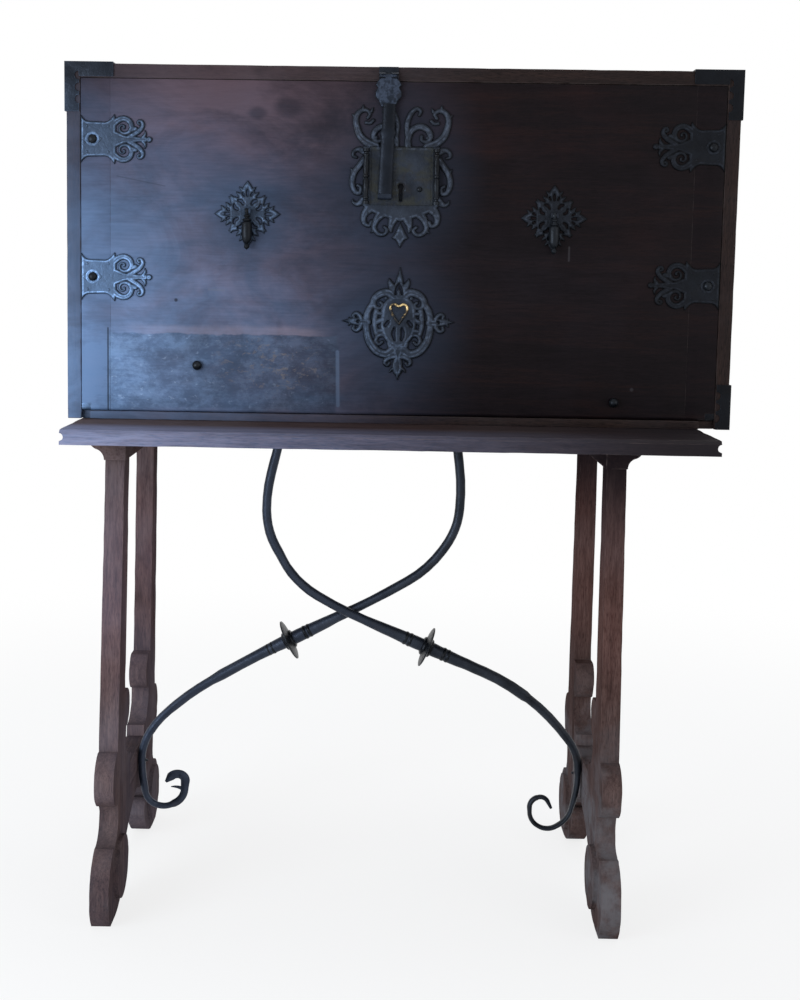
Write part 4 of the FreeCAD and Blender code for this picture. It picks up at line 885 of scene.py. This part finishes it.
def make_medallion():
    plate = Plate((-89, -89), (89, 89), swell=1.4)
    plate.strokes([*medallion_body, *both(medallion_sides)])
    plate.strokes(both(medallion_gaps), plate.holes)
    plate.engrave(both([*medallion_chasing, *medallion_tip]), 0.6)
    plate.engrave(both(medallion_veins), 0.6, 0.4)
    put("medallion_chased", [plate_parts(plate.mesh(0.9, 3.0, 5.2), 0.0, front_y, medallion_z)], "iron",
        "fall_front", ["medallion_plate"])
    rim = Plate((-15, -3), (16, 34), 0.45)
    rim.stroke([(u, v, 2.0) for u, v in heart_line])
    rim_parts = plate_parts(rim.mesh(3.2, 1.8, 2.0), 0.0, front_y - 2.0, medallion_z)
    put("medallion_heart_rim", [rim_parts], "gilt", "fall_front", ["medallion_shell"])
    inner = Plate((-15, -3), (16, 34), 0.6)
    inner.area(heart_line[:-1])
    inner_parts = plate_parts(inner.mesh(1.4, 0.0, 1.0), 0.0, front_y - 2.0, medallion_z)
    put("medallion_heart_field", [inner_parts], "iron", "fall_front", ["medallion_shell"])


# Lock plate, its columns and the hasp

lock_core = ((-60, 47), (60, 47), (60, -44), (54, -52), (36, -60), (16, -66), (0, -70), (-16, -66), (-36, -60),
             (-54, -52), (-60, -44))
lock_tip = ((0, -70), (5, -80), (7.5, -86), (13.5, -95), (7, -99), (4, -104), (0, -110.5), (-4, -104), (-7, -99),
            (-13.5, -95), (-7.5, -86), (-5, -80))
lock_sides = (
    ((10, 44, 5), (9.5, 58, 4.4), (15, 71, 4.4), (27, 77.5, 4.6), (39.5, 72.5, 4.4), (44.5, 62, 3.8), (39, 54.5, 3),
     (31.5, 56, 2.6), (30.5, 62.5, 2.6)),
    ((10, 62, 4), (7.5, 75, 3.8), (9, 87, 3.8), (14, 98, 3.6), (22, 104.5, 3), (28.5, 101, 2.6), (26.5, 95, 2.3)),
    ((40, 46, 6), (54, 52, 5.4), (65, 62, 5), (70.5, 76, 4.4), (72, 89, 4), (66.5, 99, 3.6), (57, 101.5, 3),
     (50.5, 96.5, 2.6), (53.5, 90, 2.5)),
    ((48, 100, 2.4), (45.5, 105, 1)), ((61, 104, 2.6), (61, 109, 1)), ((74, 92, 2.4), (78, 95, 1)),
    ((45, 86, 2.6), (50, 82, 2.6), (57, 82.5, 2.4)),
    ((58, 38, 5), (67, 41.5, 3.6), (74.5, 38, 2.8), (75.5, 31.5, 2.4), (70.5, 29, 2.1)),
    ((58, 26, 5), (66, 16, 4.4), (74, 4, 4.2), (76.5, -11, 4), (72, -23.5, 3.8), (64.5, -25.5, 3.2),
     (62.5, -18, 2.6), (67.5, -14, 2.4)),
    ((76, 8, 2.4), (79.3, 12.5, 0.6)),
    ((58, -36, 5), (67, -43, 3.6), (73.5, -41, 2.4), (75.5, -36, 1)),
    ((48, -48, 7), (57, -60, 4.8), (56.5, -72, 3.6), (49, -76, 2.9), (45.5, -69.5, 2.6)),
    ((28, -55, 7), (37.5, -67, 4.8), (41, -79.5, 3.6), (34.5, -88.5, 3.3), (25.5, -89.5, 3), (20.5, -83, 2.7),
     (25, -78, 2.6)),
    ((42, -84, 2.2), (46.5, -87.5, 0.6)),
    ((10, -62, 7), (14.5, -76, 4.2), (14, -85, 2)),
)
lock_gaps = (
    ((57, 68, 1.6), (61, 78, 2.4), (60, 88, 1.8)),
    ((16, 87, 1.6), (19, 94, 1.6)),
    ((24, -66, 2), (28, -74, 2.2)),
    ((44, -58, 1.6), (49, -62, 2)),
)
lock_chasing = (
    ((12, 46), (11, 58), (17, 74), (27, 80), (41, 75)),
    ((44, 50), (58, 56), (69, 66), (73.4, 80), (73.5, 90)),
    ((60, 28), (70, 14), (77.8, 2), (78, -12)),
    ((32, -58), (41, -69), (43, -80), (36, -90)),
    ((4, -84), (8, -93), (2, -104)),
)
lock_veins = (((8, 78), (10.6, 90), (17, 101)),)
lock_frame = ((-47, 43), (47, 43), (47, -41), (-47, -41), (-47, 43))
column_shares = ((0, 1), (0.03, 1.05), (0.055, 1), (0.07, 0.62), (0.09, 0.62), (0.105, 0.95), (0.13, 0.95),
                 (0.15, 0.7), (0.3, 0.86), (0.4, 0.9), (0.47, 0.66), (0.49, 0.96), (0.51, 0.96), (0.53, 0.66),
                 (0.6, 0.9), (0.7, 0.86), (0.85, 0.7), (0.87, 0.95), (0.895, 0.95), (0.91, 0.62), (0.93, 0.62),
                 (0.945, 1), (0.97, 1.05), (1, 1))
column_x = 55.0
column_length = 86.0
keyhole_v = -24.0


def plain_middle(u, v):
    return (np.abs(u) < 50.0) & (v < 46.0) & (v > -44.0)


def make_lock():
    plate = Plate((-80, -111), (80, 111), swell=1.22)
    plate.area(lock_core)
    plate.area(lock_tip)
    plate.strokes(both(lock_sides))
    plate.strokes(both(lock_gaps), plate.holes)
    plate.stroke([(0, keyhole_v + 9.0, 5.0)], plate.holes)
    plate.stroke([(0, keyhole_v + 9.0, 2.8), (0, keyhole_v - 12.0, 3.2)], plate.holes)
    plate.engrave(both(lock_chasing), 0.6)
    plate.engrave(both(lock_veins), 0.6, 0.4)
    plate.engrave(zip(lock_frame, lock_frame[1:]), 0.4)
    put("lock_plate_chased", [plate_parts(plate.mesh(1.3, 2.5, 4.6, plain_middle), 0.0, front_y, lock_z)], "lock",
        "fall_front", ["lock_plate"])
    stations = [(column_length * along, 5.0 * across) for along, across in column_shares]
    columns = [revolved(stations, (side * column_x, front_y - 2.5 - 4.6, lock_z - column_length / 2), (0.0, 0.0, 1.0),
                        24) for side in (-1, 1)]
    columns.append(dome(29.0, front_y - 1.8, lock_z - 19.0, 4.2, 3.2))
    put("lock_column_pair", columns, "dark", "fall_front", ["lock_columns"])


leaf_right = ((14, 3), (13, -3), (17, -8), (20.5, -14), (17, -18), (20.5, -25), (20.5, -32), (15, -38), (11, -48))
# Tones of the hasp: the raised parts of its leaf take a bright painted highlight, the arm is kept in painted shade.
leaf_rim = 0.4
leaf_bright = 0.9
arm_dark = 0.1
arm_start = 43.0
arm_length = 139.0
arm_x = -20.0
arm_lean = 5.0
arm_width = 20.0
arm_knop = (0.28, 0.36, 5)
roll_length = 22.0
roll_radii = (5.2, 3.4)


def make_hasp():
    """The hasp: a cusped leaf, a long half-round arm and its rolled end."""
    leaf = Plate((-21, -52), (21, 4), 0.5)
    leaf.area([(-14, 3), *leaf_right, *[(-u, v) for u, v in reversed(leaf_right[1:])]])
    points, faces, tones = plate_parts(leaf.mesh(2.0, 1.2, 3.0), hasp_pin_x, front_y - 4.5, hasp_pin_z)
    parts = [(points, faces, np.where(np.array(tones) > leaf_rim, leaf_bright, tones))]
    line, widths = [], []
    low, high, rise = arm_knop
    for t in np.linspace(0.0, 1.0, 40):
        width = arm_width + 3.0 * t
        if low < t < high:
            width += rise * math.sin((t - low) / (high - low) * math.pi)
        line.append(np.array((arm_x - t * arm_lean, front_y - 8.4, hasp_pin_z - arm_start - t * arm_length)))
        widths.append(width)
    arm = swept(line, widths, [0.36 * width for width in widths], 20, 0.1)
    parts.append((*arm, [arm_dark] * len(arm[0])))
    tip = line[-1]
    for turn, radius in enumerate(roll_radii):
        stations = [(-0.1, radius * 0.8), (1.0, radius), (roll_length - 0.9, radius), (roll_length, radius * 0.8)]
        place = (tip[0] - roll_length / 2, front_y - 9.4 - turn * 1.2, tip[2] - 3.0)
        parts.append(revolved(stations, place, (1.0, 0.0, 0.0), 20))
    put("hasp_forged", parts, "hasp", "hasp_body", ["hasp"])


# Studs, nails and pulls

stud_inset = 18.5
front_studs = ((-318, 888), (343, 840))
washer = ((0, 11.4), (0.9, 11), (1.3, 10), (1, 8.6), (0.6, 7.4))
washer_sides = 40
strap_nails = ((10, 20), (43.5, 20), (10, -20), (43.5, -20))
medallion_nails = ((60, 1), (-60, 1), (0, 50), (0, -48), (20, 40), (-20, 40))
lock_nails = ((40, 60), (-40, 60), (52, -56), (-52, -56), (0, -78))


def make_studs():
    washers, domes = [], []
    for side in (-1, 1):
        for z in strap_heights:
            x = side * (front_half - stud_inset)
            ring = revolved(washer, (x, front_y - 2.4, z), to_front, washer_sides)
            # The washers take tone 1, the full painted highlight of the iron.
            washers.append((*ring, [1.0] * len(ring[0])))
            domes.append(dome(x, front_y - 2.8, z, 7.0, 5.6, 32))
    for x, z in front_studs:
        domes.append(dome(x, front_y - 3.0, z, 7.6, 7.6, 32))
        domes.append(revolved([(0, 6.4), (3.2, 5.4)], (x, front_y, z), to_front))
    put("front_stud_domes", domes, "dark", "fall_front", ["front_studs"])
    put("front_stud_washers", washers, "iron", "fall_front", ["front_studs"])


def make_nails():
    heads = []
    for side in (-1, 1):
        for z in strap_heights:
            heads += [(side * (front_half - along), 2.4, z + up, 2.6, 1.5) for along, up in strap_nails]
        heads += [(side * diamond_x + u, 2.2, diamond_z, 2.4, 1.5) for u in (38.0, -38.0)]
    heads += [(u, 2.4, medallion_z + v, 2.8, 1.6) for u, v in medallion_nails]
    heads += [(u, 2.8, lock_z + v, 2.8, 1.6) for u, v in lock_nails]
    parts = [dome(x, front_y - lift, z, radius, rise, 12) for x, lift, z, radius, rise in heads]
    put("plate_nail_domes", parts, "iron", "fall_front", ["plate_nails"])


pull_stations = ((-4.2, 1.5), (-3.8, 3.2), (-1.5, 4.2), (1.5, 4.2), (4, 3), (5.5, 2.6), (6.5, 4.6), (8, 5.2),
                 (9.5, 4.6), (10.4, 3.4), (11.4, 3.4), (12.4, 6.4), (14, 7.4), (15.6, 6.6), (16.4, 5.4),
                 (17.6, 7.2), (20, 8), (30, 8.3), (40, 8.1), (44.5, 7.4), (48, 5.6), (50.2, 3.6),
                 (51.2, 2.6), (52.4, 3.2), (54.4, 4.4), (56.8, 4), (58.6, 2.4), (59.8, 0.6))


def make_pulls():
    for side, name in ((-1, "left"), (1, "right")):
        parts = [revolved(pull_stations, (side * diamond_x, pull_pin_y, pull_pin_z), (0.0, 0.0, -1.0), 28)]
        put("pull_%s_turned" % name, parts, "dark", "drop_pull_" + name, ["pull_" + name])


# Braces

# The routes repeat the part's own: shares of the reach across, and of the rise above or below the rail

table_underside = 777.0
rail_contact = 189.995
brace_span = (-435.919, 332.486)
brace_bar = 16.0
brace_swell = 24.0
brace_gap = 0.3
brace_bend = 0.48
brace_routes = {
    "right": {"sign": 1, "head": 0.32, "collar": 0.522,
              "upper": ((-0.048, 0.815), (-0.047, 0.705), (0.0465, 0.552), (0.2, 0.473),
                        (0.75, 0.27), (0.885, 0.183), (0.978, 0.085), (1, 0.035)),
              "lower": ((1, 0.8588), (0.972, 0.56), (0.905, 0.45), (0.845, 0.535), (0.842, 0.735),
                        (0.892, 0.785), (0.915, 0.665)),
              "widths": (0.86, 0.66, 0.52, 0.5, 0.5, 0.56, 0.5, 0.3),
              "depths": (0.9, 0.9, 0.9, 0.86, 0.8, 0.74, 0.66, 0.5)},
    "left": {"sign": -1, "head": 0.701, "collar": 0.69,
             "upper": ((-0.024, 0.8345), (-0.013, 0.7075), (0.077, 0.591), (0.231, 0.507),
                       (0.653, 0.312), (0.835, 0.212), (0.948, 0.124), (1, 0.047)),
             "lower": ((1, 0.8588), (0.982, 0.62), (0.93, 0.555), (0.862, 0.635), (0.856, 0.86),
                       (0.893, 0.885), (0.921, 0.8)),
             "widths": (0.86, 0.84, 0.72, 0.7, 0.84, 1.0, 0.96, 0.3),
             "depths": (0.86, 0.8, 0.7, 0.6, 0.56, 0.5, 0.46, 0.3)},
}
brace_upper_widths = (1, 1, 1, 1, 1, 1.18, 0.97, 0.9)
collar_run = 4
collar_disc = ((-9, 13.4), (-7.6, 15.4), (-5, 16.3), (-4.2, 18), (-3, 25), (-1.9, 32), (-0.8, 34.9),
               (0.8, 34.9), (1.9, 32), (3, 25), (4.2, 18), (5, 16.3), (7.6, 15.4), (9, 13.4))
collar_band = ((-3.4, 11), (-2.6, 12.4), (-0.8, 13.1), (0.8, 13.1), (2.6, 12.4), (3.4, 11))
collar_band_places = (-39, -31, 31, 39)
left_prong = ((-355, 8.6, 138, 7), (-362.5, 8.6, 142, 6), (-371, 8.6, 143.4, 4),
              (-378, 8.6, 143.2, 1.4))


def rounded_route(points, widths, depths):
    """Straight runs joined by arcs, sampled closely, each sample with its width and depth."""
    line, sizes = [points[0]], [(widths[0], depths[0])]

    def straight_to(goal, size):
        start, first = line[-1], sizes[-1]
        gap = goal - start
        spare = max(1, int(gap.length / 6.0))
        for k in range(1, spare):
            share = k / spare
            line.append(start + gap * share)
            sizes.append(tuple(a + (b - a) * share for a, b in zip(first, size)))

    for before, here, after, width, depth in zip(points, points[1:], points[2:], widths[1:], depths[1:]):
        way_in = (here - before).normalized()
        way_out = (after - here).normalized()
        reach = brace_bend * min((here - before).length, (after - here).length)
        turn = way_in.angle(way_out)
        radius = reach / math.tan(turn / 2)
        centre = here + (way_out - way_in).normalized() * (radius / math.cos(turn / 2))
        spoke = (here - way_in * reach - centre).normalized()
        straight_to(centre + spoke * radius, (width, depth))
        steps = max(3, int(turn / math.radians(5.0)))
        for k in range(steps + 1):
            angle = turn * k / steps
            line.append(centre + (spoke * math.cos(angle) + way_in * math.sin(angle)) * radius)
            sizes.append((width, depth))
    straight_to(points[-1], (widths[-1], depths[-1]))
    line.append(points[-1])
    sizes.append((widths[-1], depths[-1]))
    return line, sizes


def make_braces():
    """The two forged bars with their collars, each swelling to its collar and curled at its tip."""
    collars = []
    for name, route in brace_routes.items():
        low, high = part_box("brace_" + name)
        sign = route["sign"]
        head_x = brace_span[0] + (brace_span[1] - brace_span[0]) * route["head"]
        face = brace_span[1] if sign > 0 else brace_span[0]
        reach = face - sign * (brace_bar * route["widths"][0] / 2 + brace_gap) - head_x
        y = (low.y + high.y) / 2 / MM
        rise = table_underside - rail_contact
        points = [Vector((head_x, y, table_underside - 4.0))]
        points += [Vector((head_x + reach * along, y, rail_contact + rise * up)) for along, up in route["upper"]]
        points += [Vector((head_x + reach * along, y, rail_contact * up)) for along, up in route["lower"]]
        widths = [brace_bar * share for share in (*brace_upper_widths, *route["widths"])]
        depths = [brace_bar * share for share in (*brace_upper_widths, *route["depths"])]
        start, end = points[collar_run], points[collar_run + 1]
        collar = start + (end - start) * route["collar"]
        way = (end - start).normalized()
        line, sizes = rounded_route(points, widths, depths)
        reaches = [(place - collar).length * (1.0 - brace_bend * 0.6) for place in (start, end)]
        for i, place in enumerate(line):
            along = (place - collar).dot(way)
            if (place - collar - way * along).length < 9.0:
                share = max(0.0, 1.0 - abs(along) / reaches[along > 0])
                sizes[i] = tuple(size + (brace_swell - size) * share for size in sizes[i])
        parts = [swept(line, *zip(*sizes), 24, 0.12)]
        if sign < 0:
            spur = curve_points(left_prong, 4)
            parts.append(swept(spur[:, :3], spur[:, 3], 0.7 * spur[:, 3], 12))
        put("brace_%s_forged" % name, parts, "brace", "case", ["brace_" + name])
        collars.append(revolved(collar_disc, collar, way, 48))
        for place in collar_band_places:
            share = 1.0 - abs(place) / reaches[place > 0]
            slim = (brace_bar + (brace_swell - brace_bar) * share - brace_swell) / 2
            band = [(along, radius + slim) for along, radius in collar_band]
            collars.append(revolved(band, collar + way * place, way, 32))
    put("brace_collar_discs", collars, "dark", "case", ["brace_collars"])


# Parts that keep the form of their solids: look, width of the worn edges and depth of the dents in mm, nodes

worn_wood = (
    ("stand_x", 2.4, 1.6, "table_top"),
    ("stand_y", 1.6, 0.8, "batten_left batten_right"),
    ("stand_z", 2.4, 1.2, "leg_front_left leg_front_right leg_back_left leg_back_right"),
    ("stand_y", 1.6, 0.8, "rail_left rail_right"),
    ("chest_x", 1.5, 0.6, "top_board"),
    ("chest_x", 1.0, 0.4, "bottom_board"),
    ("chest_z", 1.4, 0.6, "side_board_left side_board_right"),
    ("chest_x", 1.0, 0.4, "back_board"),
    ("front", 0.35, 0.0, "front_panel front_cleat_left front_cleat_right"),
    ("nest_x", 0.6, 0.0, "nest_shelves"),
    ("nest_z", 0.6, 0.0, "nest_partitions"),
)

# Look, body, width of the worn edges in mm, tone of the plain faces, nodes

worn_iron = (
    ("iron", "case", 0.35, 0.15, "lid_leaf corner_irons handle_plate_left handle_plate_right brace_lugs brace_nails "
                                 "pivot_pins"),
    ("iron", "fall_front", 0.3, plain_tone, "pull_staples pivot_shoes lock_case"),
    ("brace", "side_handle_left", 0.8, plain_tone, "handle_left"),
    ("brace", "side_handle_right", 0.8, plain_tone, "handle_right"),
)
for look, width, dents, nodes in worn_wood:
    body = "fall_front" if look == "front" else "case"
    for node in nodes.split():
        softened(node, look, body, width, dents)
for column in ("left", "middle", "right"):
    for row in (1, 2, 3):
        softened("drawer_%s_%d" % (column, row), "nest_x", "slide_%s_%d" % (column, row), 0.8)
for look, body, width, tone, nodes in worn_iron:
    for node in nodes.split():
        softened(node, look, body, width, flat_tone=tone)

make_straps()
make_diamonds()
make_medallion()
make_lock()
make_hasp()
make_studs()
make_nails()
make_pulls()
make_braces()


# Floor, world and lamps

plain_white = (1.0, 1.0, 1.0, 1.0)
sky_colour = (0.9, 0.94, 1.0, 1.0)
floor_colour = (0.9, 0.9, 0.9, 1.0)


def make_floor():
    ring = [(9.0 * math.cos(a), 9.0 * math.sin(a), 0.0) for a in np.linspace(0.0, 2 * math.pi, 65)[:-1]]
    floor = bpy.data.objects.new("floor", mesh_of("floor", ring, [tuple(range(64))]))
    bpy.context.collection.objects.link(floor)
    net = Surface("pale_floor")
    net.finish(floor_colour, 0.8)
    white = net.add("ShaderNodeEmission", Strength=1.0)
    length = net.add("ShaderNodeVectorMath", {"operation": "LENGTH"}, Vector=net.place)
    far = Value(net, length.outputs["Value"]).span(0.8, 2.6, 0.8, 1.0)
    net.show(net.seen() * far, net.shader.outputs[0], white.outputs[0], "Material Output")
    floor.data.materials.append(net.material)


def make_world():
    world = bpy.data.worlds.new("studio")
    bpy.context.scene.world = world
    net = Net(world)
    light = net.tree.nodes["Background"]
    light.inputs["Color"].default_value = sky_colour
    light.inputs["Strength"].default_value = 0.5
    white = net.add("ShaderNodeBackground", Color=plain_white, Strength=1.0)
    net.show(net.seen(), light.outputs[0], white.outputs[0], "World Output")


lamps = (
    ("window", (-1.75, -1.75, 0.95), (0.0, 0.0, 0.85), 1.3, 40.0, (0.8, 0.9, 1.0)),
    ("fill", (2.8, -2.4, 1.6), (0.0, 0.0, 0.7), 1.8, 14.0, (1.0, 0.96, 0.92)),
    ("top", (0.2, 0.6, 3.4), (0.0, 0.0, 0.9), 2.0, 34.0, (0.96, 0.98, 1.0)),
)


def make_lamps():
    for name, place, target, size, power, colour in lamps:
        data = bpy.data.lights.new(name, "AREA")
        data.size = size
        data.energy = power
        data.color = colour
        lamp = bpy.data.objects.new(name, data)
        bpy.context.collection.objects.link(lamp)
        lamp.location = place
        lamp.rotation_euler = (Vector(target) - Vector(place)).to_track_quat("-Z", "Y").to_euler()


make_floor()
make_world()
make_lamps()
bpy.context.scene.view_settings.view_transform = "Standard"
